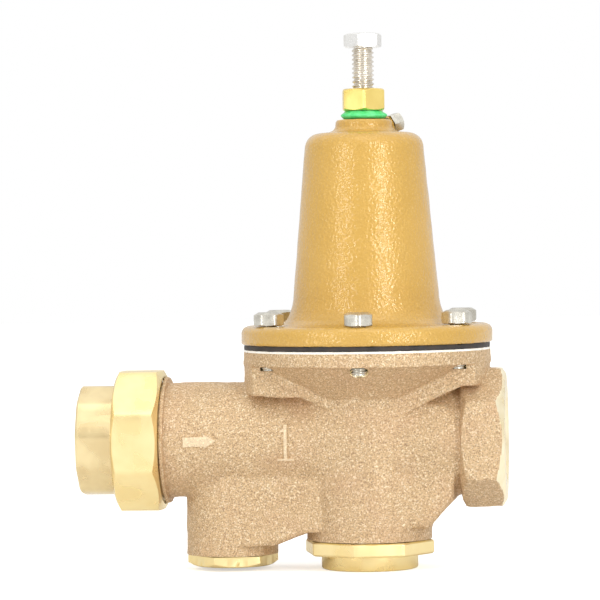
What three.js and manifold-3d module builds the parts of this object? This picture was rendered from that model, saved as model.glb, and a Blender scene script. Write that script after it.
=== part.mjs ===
// A bronze water pressure regulator with a union inlet, a strainer leg and a spring bonnet.
// Millimetres. The origin is the centre of the bottom plug's lower face, +Z is up, and water flows
// towards +X. The front, which carries the raised flow arrow, looks towards -Y.
// Heights below are measured from the strainer cap's lower face, which clears the ground by footDrop.

import * as THREE from "three";
import { mergeVertices } from "three/addons/utils/BufferGeometryUtils.js";
import Module from "manifold-3d";

const wasm = await Module();
wasm.setup();

// ---- Driving sizes ----

const gap = 0.3; // left between parts that touch
const roundSides = 32;
const middleRoundSides = 24;
const smallRoundSides = 16;
const boltHoleSides = 12;
const edge = 0.7; // chamfer on turned edges
const footDrop = 1.5; // the bottom plug reaches this far below the strainer cap

const flow = {
  height: 48.5, // of the inlet and outlet axis
  barrelRadius: 22.1,
  boreRadius: 15.5,
  socketRadius: 15.2,
  threadRadius: 23.5,
  threadStart: -90.8,
  threadEnd: -75.8,
};
const nut = { left: -96.6, right: -78.6, acrossFlats: 53.4, lipRadius: 21, lipThickness: 3.2 };
const tailpiece = {
  left: -111,
  acrossFlats: 40.2,
  collarRadius: 23.3,
  collarRight: -92.1,
  boreRadius: 13.5,
};
const outlet = {
  hexLeft: 36.4,
  right: 53.4,
  acrossFlats: 51.2,
  faceRadius: 22,
  neckRadius: 22,
  flashHeight: 26.4,
};
const leg = { x: -53, radius: 17.6, bottom: 4.5, boreRadius: 13.5, boreTop: 34 };
const barrel = { radius: 24.3, bottom: 9.9, lowerBore: 17.2, upperBore: 17.5 };
const seat = { wallBottom: 36, wallTop: 40, holeRadius: 11, throatRadius: 7.5 };
const bodyFlange = { radius: 47.4, bottom: 77.3, top: 82.8 };
const chamberRadius = 37.5; // the unclamped width of the diaphragm
const diaphragmBand = { bottom: 83.1, top: 84.9 };
const bellFlange = { radius: 48.5, bottom: 85.2, top: 92.3 };
const bellTop = { shoulder: 165.9, neck: 170.9, neckRadius: 10.8 };
const boltCircle = { radius: 41.2, count: 6, holeRadius: 3.5, shankRadius: 3.1, end: 74.3 };
const stemRadius = 4.5;
const screw = { radius: 4.2, headBottom: 198.7, headTop: 204, acrossFlats: 13.3, tip: 154.3 };
const adjusterHoleRadius = screw.radius + gap;
const spring = { wireRadius: 2.1, coilRadius: 15.4, turns: 7.5 };

// ---- Materials ----

function metal(colour, roughness, metalness = 1) {
  return new THREE.MeshStandardMaterial({ color: colour, roughness, metalness });
}

const castBronze = metal("#c19a63", 0.62);
const turnedBrass = metal("#e3bf6e", 0.28);
const goldPaint = metal("#c9973c", 0.38, 0.25);
const stainless = metal("#c9cacb", 0.25);
const springSteel = metal("#8b8d8e", 0.35);
const blackRubber = metal("#1b1b1d", 0.8, 0);
const greenSeal = metal("#12b048", 0.5, 0);
const greyFibre = metal("#6f6b64", 0.9, 0);

// ---- Solids ----

// Turns a closed three.js geometry into a manifold solid, so that it can be joined and cut.
function solidOf(geometry) {
  geometry.deleteAttribute("normal");
  geometry.deleteAttribute("uv");
  const merged = mergeVertices(geometry, 1e-4);
  const corners = merged.index.array;
  const triVerts = [];
  for (let i = 0; i < corners.length; i += 3) {
    const [a, b, c] = [corners[i], corners[i + 1], corners[i + 2]];
    if (a !== b && b !== c && c !== a) triVerts.push(a, b, c);
  }
  const vertProperties = new Float32Array(merged.attributes.position.array);
  const mesh = new wasm.Mesh({ numProp: 3, vertProperties, triVerts: new Uint32Array(triVerts) });
  return new wasm.Manifold(mesh);
}

function join(...solids) {
  return solids.reduce((whole, solid) => whole.add(solid));
}

function cut(solid, ...tools) {
  return tools.reduce((left, tool) => left.subtract(tool), solid);
}

// A solid turned about the Z axis. The profile's points are [radius, height], from bottom to top on
// the outside, and it starts and ends on the axis or closes on itself.
function turned(profile, sides = roundSides) {
  const points = profile.map(([radius, height]) => new THREE.Vector2(radius, height));
  const geometry = new THREE.LatheGeometry(points, sides);
  geometry.rotateX(Math.PI / 2);
  return solidOf(geometry);
}

function disc(radius, bottom, top, sides = roundSides) {
  return turned([[0, bottom], [radius, bottom], [radius, top], [0, top]], sides);
}

function ring(inner, outer, bottom, top, sides = middleRoundSides) {
  const profile = [[inner, bottom], [outer, bottom], [outer, top], [inner, top], [inner, bottom]];
  return turned(profile, sides);
}

function torus(radius, wireRadius, height) {
  const geometry = new THREE.TorusGeometry(radius, wireRadius, 8, smallRoundSides);
  geometry.translate(0, 0, height);
  return solidOf(geometry);
}

// A prism about the Z axis. One corner stands at cornerTurn degrees from -Y, towards +X.
function prism(sides, acrossFlats, bottom, top, cornerTurn) {
  const radius = acrossFlats / 2 / Math.cos(Math.PI / sides);
  const geometry = new THREE.CylinderGeometry(radius, radius, top - bottom, sides);
  geometry.rotateX(Math.PI / 2);
  geometry.rotateZ(THREE.MathUtils.degToRad(cornerTurn));
  geometry.translate(0, 0, (bottom + top) / 2);
  return solidOf(geometry);
}

// A nut or bolt head: a prism whose corners are turned off at the ends that are chamfered.
function hexHead(acrossFlats, bottom, top, cornerTurn, { lower = false, upper = true } = {}) {
  const flatRadius = acrossFlats / 2;
  const cornerRadius = (flatRadius * 2) / Math.sqrt(3);
  const drop = (cornerRadius - flatRadius * 0.94) * Math.tan(Math.PI / 6);
  const profile = [
    [0, bottom],
    [lower ? flatRadius * 0.94 : cornerRadius + 1, bottom],
    [lower ? cornerRadius : cornerRadius + 1, bottom + drop],
    [upper ? cornerRadius : cornerRadius + 1, top - drop],
    [upper ? flatRadius * 0.94 : cornerRadius + 1, top],
    [0, top],
  ];
  return prism(6, acrossFlats, bottom, top, cornerTurn).intersect(turned(profile, middleRoundSides));
}

// A plate across Y: an outline of [x, z] points, as thick as twice the half width, with round edges.
function plate(outline, halfWidth, round) {
  const shape = new THREE.Shape(outline.map(([x, z]) => new THREE.Vector2(x, -z)));
  const geometry = new THREE.ExtrudeGeometry(shape, {
    depth: 2 * (halfWidth - round),
    bevelSize: round,
    bevelOffset: -round,
    bevelThickness: round,
    bevelSegments: 2,
  });
  geometry.translate(0, 0, -(halfWidth - round));
  geometry.rotateX(-Math.PI / 2);
  return solidOf(geometry);
}

// Moves a solid by a three.js matrix.
function moved(solid, matrix) {
  return solid.transform(matrix.elements);
}

// Lays a solid made about Z along the flow axis, with its +Z turned to +X.
function alongFlow(solid) {
  const matrix = new THREE.Matrix4().makeRotationY(Math.PI / 2).setPosition(0, 0, flow.height);
  return moved(solid, matrix);
}

function shifted(solid, x, y, z = 0) {
  return moved(solid, new THREE.Matrix4().makeTranslation(x, y, z));
}

// ---- Scene ----

const regulator = new THREE.Group();

// Everything stands in this group, which is raised so that the bottom plug meets the ground.
const standing = new THREE.Group();
standing.position.z = footDrop;
regulator.add(standing);

function addPart(name, solid, material, parent = standing) {
  const result = solid.getMesh();
  const geometry = new THREE.BufferGeometry();
  geometry.setAttribute("position", new THREE.BufferAttribute(result.vertProperties, 3));
  geometry.setIndex(new THREE.BufferAttribute(result.triVerts, 1));
  geometry.computeVertexNormals();
  const mesh = new THREE.Mesh(geometry, material);
  mesh.name = name;
  parent.add(mesh);
  return mesh;
}

// Bolt angles start at the front, -Y, and go round towards +X.
function boltPlaces() {
  const places = [];
  for (let i = 0; i < boltCircle.count; i += 1) {
    const angle = (i * 2 * Math.PI) / boltCircle.count - Math.PI / 2;
    places.push([boltCircle.radius * Math.cos(angle), boltCircle.radius * Math.sin(angle)]);
  }
  return places;
}

function boltHoles(bottom, top) {
  const holes = boltPlaces().map(([x, y]) =>
    shifted(disc(boltCircle.holeRadius, bottom, top, boltHoleSides), x, y),
  );
  return join(...holes);
}

// ---- Cast body ----

function bodyBarrel() {
  return turned([
    [0, barrel.bottom],
    [23.3, barrel.bottom],
    [24, barrel.bottom + edge],
    [barrel.radius, 15.5],
    [barrel.radius, 61],
    [25.2, 64.6],
    [44, bodyFlange.bottom],
    [bodyFlange.radius - edge, bodyFlange.bottom],
    [bodyFlange.radius, bodyFlange.bottom + edge],
    [bodyFlange.radius, bodyFlange.top - edge],
    [bodyFlange.radius - edge, bodyFlange.top],
    [0, bodyFlange.top],
  ]);
}

function inletBarrel() {
  return alongFlow(
    turned([
      [0, flow.threadStart],
      [flow.threadRadius - 1.5, flow.threadStart],
      [flow.threadRadius, flow.threadStart + 1.5],
      [flow.threadRadius, flow.threadEnd],
      [flow.barrelRadius, flow.threadEnd],
      [flow.barrelRadius, 0],
      [0, 0],
    ]),
  );
}

function strainerLeg() {
  const upper = shifted(disc(leg.radius, leg.bottom, flow.height), leg.x, 0);
  const passage = [
    [leg.x, 8],
    [-36, 8.5],
    [-22, 13.5],
    [0, 13.5],
    [0, 44],
    [leg.x, 44],
  ];
  return join(upper, plate(passage, 17, 5));
}

// The underside of the outlet runs down to the barrel as a slanted gusset.
function outletGusset() {
  const outline = [
    [0, 14.8],
    [23.4, 14.8],
    [33.5, 25.2],
    [37, 34],
    [30, 62],
    [0, 62],
  ];
  return plate(outline, 20, 7);
}

// Two wings carry the bolts beside the bowl.
function flangeWings() {
  const left = [
    [0, 55],
    [-16.5, 59],
    [-22, 64.5],
    [-31, 68],
    [-43.5, 66.3],
    [-49, 69.5],
    [-49, bodyFlange.bottom + 1],
    [0, bodyFlange.bottom + 1],
  ];
  const right = [
    [0, 55],
    [0, bodyFlange.bottom + 1],
    [49, bodyFlange.bottom + 1],
    [49, 69.8],
    [37, 69.4],
    [27, 66],
    [20, 64.5],
    [12, 57],
  ];
  const both = join(plate(left, 20, 3), plate(right, 20, 3));
  return both.intersect(disc(bodyFlange.radius - 0.4, 50, bodyFlange.bottom + 0.6));
}

function outletHex() {
  const half = outlet.acrossFlats / 2;
  const cornerRadius = (half * 2) / Math.sqrt(3);
  const slope = Math.tan(Math.PI / 6);
  const turning = turned([
    [0, outlet.hexLeft],
    [half - 1, outlet.hexLeft],
    [cornerRadius, outlet.hexLeft + (cornerRadius - half + 1) * slope],
    [cornerRadius, outlet.right - (cornerRadius - outlet.faceRadius) * slope],
    [outlet.faceRadius, outlet.right],
    [0, outlet.right],
  ]);
  const hex = prism(6, outlet.acrossFlats, outlet.hexLeft, outlet.right, 30).intersect(turning);
  const neck = disc(outlet.neckRadius, 0, outlet.hexLeft + 1);
  const whole = alongFlow(join(hex, neck));
  // The casting's parting line runs over the top and bottom corners, which are dressed flat.
  const low = flow.height - outlet.flashHeight;
  const high = flow.height + outlet.flashHeight;
  return whole.intersect(disc(100, low, high));
}

function diaphragmChamber() {
  return turned([
    [0, 75.7],
    [8.6, 75.7],
    [8.6, 65],
    [20.5, 65],
    [chamberRadius, 79.5],
    [chamberRadius, bodyFlange.top + 1],
    [0, bodyFlange.top + 1],
  ]);
}

function bodyPassages() {
  const inletBore = disc(flow.boreRadius, flow.threadStart - 1, -40);
  const outletSocket = turned([
    [0, 31],
    [flow.socketRadius, 31],
    [flow.socketRadius, outlet.right - 2.4],
    [flow.socketRadius + 1.6, outlet.right + 1],
    [0, outlet.right + 1],
  ]);
  const outletPassage = disc(11, 14, 33);
  return join(
    alongFlow(inletBore),
    alongFlow(outletSocket),
    shifted(alongFlow(outletPassage), 0, 0, 2),
    shifted(disc(leg.boreRadius, leg.bottom - 1, leg.boreTop), leg.x, 0),
    shifted(disc(15.6, leg.bottom - 1, 6.2), leg.x, 0),
    shifted(alongFlow(disc(7.5, leg.x, 0)), 0, 0, 26 - flow.height),
    disc(barrel.lowerBore, barrel.bottom - 1, seat.wallBottom),
    disc(21.4, barrel.bottom - 1, 11.8),
    disc(seat.holeRadius, seat.wallBottom - 1, seat.wallTop + 1),
    disc(barrel.upperBore, seat.wallTop, 60),
    disc(stemRadius + gap, 59, 80, smallRoundSides),
    ring(stemRadius, 6.9, 67.6, 71.4, smallRoundSides),
    shifted(disc(1.6, 59, 66, 12), 13, 0),
    diaphragmChamber(),
    boltHoles(boltCircle.end - gap, bodyFlange.top + 1),
  );
}

// The raised arrow points the way the water flows.
function flowArrow() {
  const arrow = new THREE.Shape();
  arrow.moveTo(-6.4, -1.9);
  arrow.lineTo(1.8, -1.9);
  arrow.lineTo(1.8, -3.2);
  arrow.lineTo(6.4, 0);
  arrow.lineTo(1.8, 3.2);
  arrow.lineTo(1.8, 1.9);
  arrow.lineTo(-6.4, 1.9);
  const geometry = new THREE.ExtrudeGeometry(arrow, { depth: 4, bevelEnabled: false });
  geometry.rotateX(Math.PI / 2);
  geometry.translate(-62, -18.7, flow.height);
  return solidOf(geometry);
}

function body() {
  const shell = join(
    bodyBarrel(),
    inletBarrel(),
    strainerLeg(),
    outletGusset(),
    flangeWings(),
    outletHex(),
    flowArrow(),
  );
  return cut(shell, bodyPassages());
}

addPart("body", body(), castBronze);

// ---- Seat, stem and disc ----

const throat = seat.throatRadius;
addPart(
  "seat_ring",
  turned(
    [
      [throat, 35],
      [throat + 1.6, 35],
      [seat.holeRadius - gap, 36.6],
      [seat.holeRadius - gap, seat.wallTop + gap],
      [12.8, seat.wallTop + gap],
      [12.8, seat.wallTop + 2],
      [throat + 1, seat.wallTop + 2],
      [throat, seat.wallTop + 1],
      [throat, 35],
    ],
    smallRoundSides,
  ),
  stainless,
);

function stem() {
  const shaft = turned(
    [
      [0, 30.7],
      [6, 30.7],
      [6, 32.4],
      [stemRadius, 32.4],
      [stemRadius, 76],
      [7, 76],
      [7, 80.1],
      [stemRadius, 80.1],
      [stemRadius, 94.2],
      [stemRadius - 1, 95.2],
      [0, 95.2],
    ],
    smallRoundSides,
  );
  return cut(shaft, disc(2.8, 30, 41, smallRoundSides));
}

function adjustingSpring() {
  class Coil extends THREE.Curve {
    getPoint(t, target = new THREE.Vector3()) {
      const bottom = pressurePlate.top + gap + spring.wireRadius;
      const top = springButton.bottom - gap - spring.wireRadius;
      // The end turns lie almost flat and the rest climbs evenly.
      const ease = t - Math.sin(4 * Math.PI * t) / (4 * Math.PI * 1.6);
      const flat = THREE.MathUtils.smoothstep(t, 0, 1);
      const height = THREE.MathUtils.lerp(bottom, top, 0.5 * (ease + flat));
      const angle = t * spring.turns * 2 * Math.PI;
      return target.set(
        spring.coilRadius * Math.cos(angle),
        spring.coilRadius * Math.sin(angle),
        height,
      );
    }
  }
  const section = new THREE.Shape();
  section.absarc(0, 0, spring.wireRadius, 0, 2 * Math.PI);
  const geometry = new THREE.ExtrudeGeometry(section, {
    extrudePath: new Coil(),
    steps: Math.round(spring.turns * 12),
    curveSegments: 3,
    bevelEnabled: false,
  });
  return solidOf(geometry);
}

const pressurePlate = { bottom: 85.2, top: 87.8, radius: 25 };
const springButton = { bottom: 149, top: 155.6, radius: 18.2 };

addPart("stem", stem(), stainless);
addPart("stem_seal", torus(stemRadius + 1.2, 0.85, 69.5), blackRubber);
addPart(
  "disc_holder",
  turned(
    [
      [3, 24],
      [10.2, 24],
      [10.8, 24.6],
      [10.8, 29.6],
      [9.8, 29.6],
      [9.8, 26.4],
      [3, 26.4],
      [3, 24],
    ],
    smallRoundSides,
  ),
  turnedBrass,
);
addPart("seat_disc", ring(2.8, 9.5, 26.7, 30.4, smallRoundSides), blackRubber);
addPart(
  "disc_screw",
  join(hexHead(8, 20.4, 23.7, 0, { lower: true, upper: false }), disc(2.5, 23.5, 40, smallRoundSides)),
  stainless,
);
addPart("diaphragm_washer", ring(stemRadius + gap, 24, 80.4, bodyFlange.top), turnedBrass);

// The rubber is clamped at its rim and rolls up between the rim and the pressure plate.
function diaphragm() {
  const { bottom, top } = diaphragmBand;
  const rollInner = pressurePlate.radius + 1;
  const rollOuter = chamberRadius - 2.2;
  const middle = (rollInner + rollOuter) / 2;
  const half = (rollOuter - rollInner) / 2;
  const steps = 4;
  const roll = (height) => {
    const points = [];
    for (let i = 0; i <= steps; i += 1) {
      const angle = (Math.PI * i) / steps;
      points.push([middle - half * Math.cos(angle), height + 3 * Math.sin(angle)]);
    }
    return points;
  };
  const inner = stemRadius + gap;
  const profile = [
    [inner, bottom],
    ...roll(bottom),
    [bodyFlange.radius, bottom],
    [bodyFlange.radius, top],
    ...roll(top).reverse(),
    [inner, top],
    [inner, bottom],
  ];
  return cut(turned(profile), boltHoles(bottom - 1, top + 1));
}

addPart("diaphragm", diaphragm(), blackRubber);
addPart(
  "pressure_plate",
  ring(stemRadius + gap, pressurePlate.radius, pressurePlate.bottom, pressurePlate.top),
  springSteel,
);
addPart(
  "stem_nut",
  cut(
    hexHead(14, pressurePlate.top + gap, 93.6, 15),
    disc(stemRadius + gap, 88, 96, smallRoundSides),
  ),
  turnedBrass,
);

// ---- Spring and bell housing ----

addPart("adjusting_spring", adjustingSpring(), springSteel);
addPart(
  "spring_button",
  turned(
    [
      [0, springButton.bottom],
      [springButton.radius - edge, springButton.bottom],
      [springButton.radius, springButton.bottom + edge],
      [springButton.radius, springButton.bottom + 2.4],
      [8, springButton.top],
      [5.2, springButton.top],
      [5.2, springButton.top - 1.6],
      [0, springButton.top - 1.6],
    ],
    middleRoundSides,
  ),
  springSteel,
);

function bellOutside() {
  const shoulderRound = 6;
  const shoulder = [];
  const steps = 5;
  for (let i = 0; i <= steps; i += 1) {
    const angle = (i / steps) * THREE.MathUtils.degToRad(86);
    shoulder.push([
      16.9 + shoulderRound * Math.cos(angle),
      bellTop.shoulder - shoulderRound + shoulderRound * Math.sin(angle),
    ]);
  }
  return [
    [0, bellFlange.bottom],
    [bellFlange.radius - edge, bellFlange.bottom],
    [bellFlange.radius, bellFlange.bottom + edge],
    [bellFlange.radius, bellFlange.top - 2.6],
    [bellFlange.radius - 0.8, bellFlange.top - 0.8],
    [bellFlange.radius - 2.6, bellFlange.top],
    [35, bellFlange.top],
    [31.6, 94.6],
    [29.4, 97.4],
    [28.1, 102],
    ...shoulder,
    [12.6, bellTop.shoulder + 0.6],
    [bellTop.neckRadius + 0.3, bellTop.shoulder + 2],
    [bellTop.neckRadius, bellTop.neck - 0.8],
    [bellTop.neckRadius - 0.8, bellTop.neck],
    [0, bellTop.neck],
  ];
}

function bellInside() {
  return turned([
    [0, bellFlange.bottom - 1],
    [chamberRadius, bellFlange.bottom - 1],
    [chamberRadius - 0.6, 88.4],
    [30, 93.6],
    [26.6, 97.4],
    [24.9, 102.4],
    [19.8, 158],
    [17.6, 161.2],
    [14, 162],
    [0, 162],
  ]);
}

// The vent's axis leaves the neck to the right and back, and rises a little.
const vent = { turn: 35, rise: 17, height: 169.4, start: 8, seat: 13, head: 3.6, acrossFlats: 6.6 };

function alongVent(solid) {
  const tilt = new THREE.Matrix4().makeRotationY(THREE.MathUtils.degToRad(90 - vent.rise));
  const spin = new THREE.Matrix4().makeRotationZ(THREE.MathUtils.degToRad(vent.turn));
  const drop = vent.seat * Math.sin(THREE.MathUtils.degToRad(vent.rise));
  return moved(solid, spin.multiply(tilt).setPosition(0, 0, vent.height - drop));
}

function bellHousing() {
  const boss = alongVent(disc(3.9, vent.start, vent.seat, smallRoundSides));
  const outside = join(turned(bellOutside()), boss);
  return cut(
    outside,
    bellInside(),
    boltHoles(bellFlange.bottom - 1, bellFlange.top + 1),
    disc(adjusterHoleRadius, 160, 176, smallRoundSides),
    disc(bellTop.neckRadius - 1, bellTop.neck, bellTop.neck + 6, middleRoundSides),
    alongVent(disc(2.5, 0, vent.seat + 1, smallRoundSides)),
  );
}

addPart("bell_housing", bellHousing(), goldPaint);
addPart(
  "vent_plug",
  join(
    alongVent(hexHead(vent.acrossFlats, vent.seat + gap, vent.seat + gap + vent.head, 0)),
    alongVent(disc(2.2, vent.start + 1, vent.seat + gap + 0.5, smallRoundSides)),
  ),
  stainless,
);

function flangeScrew(cornerTurn) {
  const headBottom = bellFlange.top + gap;
  return join(
    hexHead(10.5, headBottom, headBottom + 5.2, cornerTurn),
    disc(boltCircle.shankRadius, boltCircle.end, headBottom + 1, smallRoundSides),
  );
}

const screwTurns = [6, 41, 22, 50, 13, 33]; // each head stopped where it came tight
boltPlaces().forEach(([x, y], i) => {
  const mesh = addPart(`flange_screw_${i + 1}`, flangeScrew(screwTurns[i]), stainless);
  mesh.position.set(x, y, 0);
});

// ---- Adjuster ----

addPart(
  "adjusting_screw",
  join(
    turned(
      [
        [0, screw.tip],
        [2.6, screw.tip],
        [screw.radius, screw.tip + 1.6],
        [screw.radius, screw.headBottom + 1],
        [0, screw.headBottom + 1],
      ],
      smallRoundSides,
    ),
    hexHead(screw.acrossFlats, screw.headBottom, screw.headTop, -8),
  ),
  stainless,
);
const washerTop = 174.1;
const lockNut = { bottom: washerTop + gap, top: 182.8, acrossFlats: 15.6 };
addPart(
  "sealing_washer",
  ring(adjusterHoleRadius, 8.7, bellTop.neck + gap, washerTop),
  greenSeal,
);
addPart(
  "lock_nut",
  cut(
    hexHead(lockNut.acrossFlats, lockNut.bottom, lockNut.top, 8, { lower: true }),
    disc(adjusterHoleRadius, lockNut.bottom - 1, lockNut.top + 1, smallRoundSides),
  ),
  turnedBrass,
);

// ---- Union ----

function unionNut() {
  const half = nut.acrossFlats / 2;
  const cornerRadius = half / Math.cos(Math.PI / 8);
  const drop = (cornerRadius - half + 1.2) * Math.tan(Math.PI / 6);
  const turning = turned([
    [0, nut.left],
    [half - 1.2, nut.left],
    [cornerRadius, nut.left + drop],
    [cornerRadius, nut.right - drop],
    [half - 1.2, nut.right],
    [0, nut.right],
  ]);
  const outside = prism(8, nut.acrossFlats, nut.left, nut.right, 22.5).intersect(turning);
  const bore = flow.threadRadius + gap;
  return cut(
    outside,
    disc(nut.lipRadius, nut.left - 1, nut.right + 1),
    disc(bore, nut.left + nut.lipThickness, nut.right + 1),
  );
}

function unionTailpiece() {
  const collarLeft = nut.left + nut.lipThickness + gap;
  const { collarRight } = tailpiece;
  const neckRadius = nut.lipRadius - gap;
  const outside = turned([
    [0, tailpiece.left],
    [19.4, tailpiece.left],
    [neckRadius, tailpiece.left + 1.2],
    [neckRadius, collarLeft],
    [tailpiece.collarRadius, collarLeft],
    [tailpiece.collarRadius, collarRight],
    [0, collarRight],
  ]);
  const wrenchFlats = prism(10, tailpiece.acrossFlats, tailpiece.left - 1, nut.left + 1, -9);
  const collar = disc(tailpiece.collarRadius, nut.left + 0.5, collarRight + 1);
  const socket = turned([
    [0, tailpiece.left - 1],
    [flow.socketRadius + 1.6, tailpiece.left - 1],
    [flow.socketRadius, tailpiece.left + 2.4],
    [flow.socketRadius, nut.left],
    [tailpiece.boreRadius, nut.left + 1],
    [tailpiece.boreRadius, collarRight + 1],
    [0, collarRight + 1],
  ]);
  return cut(outside.intersect(join(wrenchFlats, collar)), socket);
}

// The union's parts are made about Z and laid along the flow axis together.
const union = new THREE.Group();
union.position.set(0, 0, flow.height);
union.rotation.y = Math.PI / 2;
standing.add(union);
addPart("union_nut", unionNut(), turnedBrass, union);
addPart("union_tailpiece", unionTailpiece(), turnedBrass, union);
const unionGasket = ring(16, 22, tailpiece.collarRight + gap, flow.threadStart - gap);
addPart("union_gasket", unionGasket, greyFibre, union);

// ---- Bottom plug and strainer ----

const plug = { acrossFlats: 47, bottom: 4.2, top: 9.6, turn: -9, bossRadius: 18.6, shankTop: 18 };

function bottomPlug() {
  const octagon = prism(8, plug.acrossFlats, plug.bottom, plug.top, plug.turn);
  const boss = turned([
    [0, -footDrop],
    [plug.bossRadius - edge, -footDrop],
    [plug.bossRadius, edge - footDrop],
    [plug.bossRadius, plug.bottom + 1],
    [0, plug.bottom + 1],
  ]);
  const shank = disc(barrel.lowerBore - gap, plug.top - 1, plug.shankTop);
  const hollow = disc(11.6, 11, plug.shankTop + 1);
  return cut(join(octagon, boss, shank), hollow);
}

addPart("bottom_plug", bottomPlug(), turnedBrass);
addPart("bottom_plug_seal", ring(17.4, 21, barrel.bottom, 11.4), blackRubber);

const strainer = new THREE.Group();
strainer.position.set(leg.x, 0, 0);
standing.add(strainer);

const cap = { acrossFlats: 30.5, top: 4.2, turn: -17.4, shankTop: 14, hollowRadius: 10.2 };

function strainerCap() {
  const cornerRadius = cap.acrossFlats / Math.sqrt(3) + 0.1;
  const turning = turned([
    [0, 0],
    [cornerRadius - 1.7, 0],
    [cornerRadius, 1],
    [cornerRadius, cap.top],
    [0, cap.top],
  ]);
  const head = prism(6, cap.acrossFlats, 0, cap.top, cap.turn).intersect(turning);
  const shank = disc(leg.boreRadius - gap, cap.top - 1, cap.shankTop);
  return cut(join(head, shank), disc(cap.hollowRadius, 8, cap.shankTop + 1));
}

function strainerScreen() {
  return turned(
    [
      [0, cap.shankTop + gap],
      [12.2, cap.shankTop + gap],
      [12.2, leg.boreTop - 0.4],
      [11.4, leg.boreTop - 0.4],
      [11.4, cap.shankTop + 1.2],
      [0, cap.shankTop + 1.2],
    ],
    smallRoundSides,
  );
}

addPart("strainer_cap", strainerCap(), turnedBrass, strainer);
addPart(
  "strainer_cap_gasket",
  ring(leg.boreRadius, 15.3, cap.top + gap, cap.top + gap + 1.4),
  greyFibre,
  strainer,
);
addPart("strainer_screen", strainerScreen(), stainless, strainer);

export default regulator;
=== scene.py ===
"""A bronze water pressure regulator: the looks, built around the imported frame.

Sizes are in millimetres. Heights are measured from the strainer cap's lower face, which stands a
little above the floor, and meshes are written in metres in the frame. The two castings are distance
fields, joined with a casting's fillets and meshed with their machined edges sharp. Turned, hexagonal
and threaded pieces are rings of points about an axis.
"""

import math

import bmesh
import bpy
import numpy as np
from mathutils import Matrix, Vector


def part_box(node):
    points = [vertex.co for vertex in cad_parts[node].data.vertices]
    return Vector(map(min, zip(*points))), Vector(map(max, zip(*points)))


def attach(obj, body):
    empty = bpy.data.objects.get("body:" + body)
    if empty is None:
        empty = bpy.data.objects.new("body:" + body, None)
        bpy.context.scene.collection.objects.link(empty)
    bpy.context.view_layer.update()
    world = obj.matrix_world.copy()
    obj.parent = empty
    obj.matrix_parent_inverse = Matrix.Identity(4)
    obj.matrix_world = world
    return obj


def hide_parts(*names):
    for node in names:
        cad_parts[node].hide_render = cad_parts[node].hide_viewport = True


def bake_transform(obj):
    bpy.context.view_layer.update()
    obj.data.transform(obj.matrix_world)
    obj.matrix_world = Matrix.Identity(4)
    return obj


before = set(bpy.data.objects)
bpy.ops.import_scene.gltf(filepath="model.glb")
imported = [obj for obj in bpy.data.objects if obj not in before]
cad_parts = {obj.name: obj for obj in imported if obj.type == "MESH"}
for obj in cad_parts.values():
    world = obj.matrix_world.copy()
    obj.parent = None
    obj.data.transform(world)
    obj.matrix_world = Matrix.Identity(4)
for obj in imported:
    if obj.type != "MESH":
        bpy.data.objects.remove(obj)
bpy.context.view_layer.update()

MM = 0.001
TURN = 2 * math.pi
TAN_30 = math.tan(TURN / 12)

# The bottom plug reaches this far below the strainer cap.
LIFT = (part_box("strainer_cap")[0][2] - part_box("bottom_plug")[0][2]) / MM


def extent(node, axis):
    """The lowest and highest place of a CAD node along an axis, in millimetres."""
    low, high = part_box(node)
    drop = LIFT if axis == 2 else 0
    return low[axis] / MM - drop, high[axis] / MM - drop


# ---- Sizes that come from the frame ----

NUT_LEFT, NUT_RIGHT = extent("union_nut", 0)
NUT_HALF = (extent("union_nut", 1)[1] - extent("union_nut", 1)[0]) / 2
FLOW_HEIGHT = sum(extent("union_nut", 2)) / 2
TAIL_LEFT, TAIL_RIGHT = extent("union_tailpiece", 0)
COLLAR_RADIUS = extent("union_tailpiece", 1)[1]
GASKET_LEFT, GASKET_RIGHT = extent("union_gasket", 0)
THREAD_LEFT, OUTLET_RIGHT = extent("body", 0)
LEG_BOTTOM, FLANGE_TOP = extent("body", 2)
FLANGE_RADIUS = extent("body", 1)[1] - 0.05
LEG_X = sum(extent("strainer_screen", 0)) / 2
SCREEN_BOTTOM, SCREEN_TOP = extent("strainer_screen", 2)
BELL_BOTTOM, NECK_TOP = extent("bell_housing", 2)[0], extent("sealing_washer", 2)[0] - 0.3
BELL_RADIUS = extent("bell_housing", 1)[1] - 0.2
WASHER_BOTTOM, WASHER_TOP = extent("sealing_washer", 2)
LOCK_BOTTOM, LOCK_TOP = extent("lock_nut", 2)
SCREW_TIP, SCREW_TOP = extent("adjusting_screw", 2)
PLUG_BOTTOM, PLUG_TOP = extent("bottom_plug", 2)
CAP_TOP = extent("strainer_cap", 2)[1]
PLATE_BOTTOM, PLATE_TOP = extent("pressure_plate", 2)
PLATE_RADIUS = extent("pressure_plate", 1)[1]
BUTTON_BOTTOM, BUTTON_TOP = extent("spring_button", 2)
BUTTON_RADIUS = extent("spring_button", 1)[1]
STEM_BOTTOM, STEM_TOP = extent("stem", 2)
STEM_NUT_BOTTOM, STEM_NUT_TOP = extent("stem_nut", 2)
DISC_SCREW_BOTTOM, DISC_SCREW_TOP = extent("disc_screw", 2)
SEAT_BOTTOM, SEAT_TOP = extent("seat_ring", 2)
BOLT_COUNT = 6
BOLT_CIRCLE = -sum(extent("flange_screw_1", 1)) / 2
BOLT_TIP, BOLT_TOP = extent("flange_screw_1", 2)
PIPE_PITCH = 2.309
SCREW_PITCH = 1.7

# ---- Distance fields ----


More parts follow.
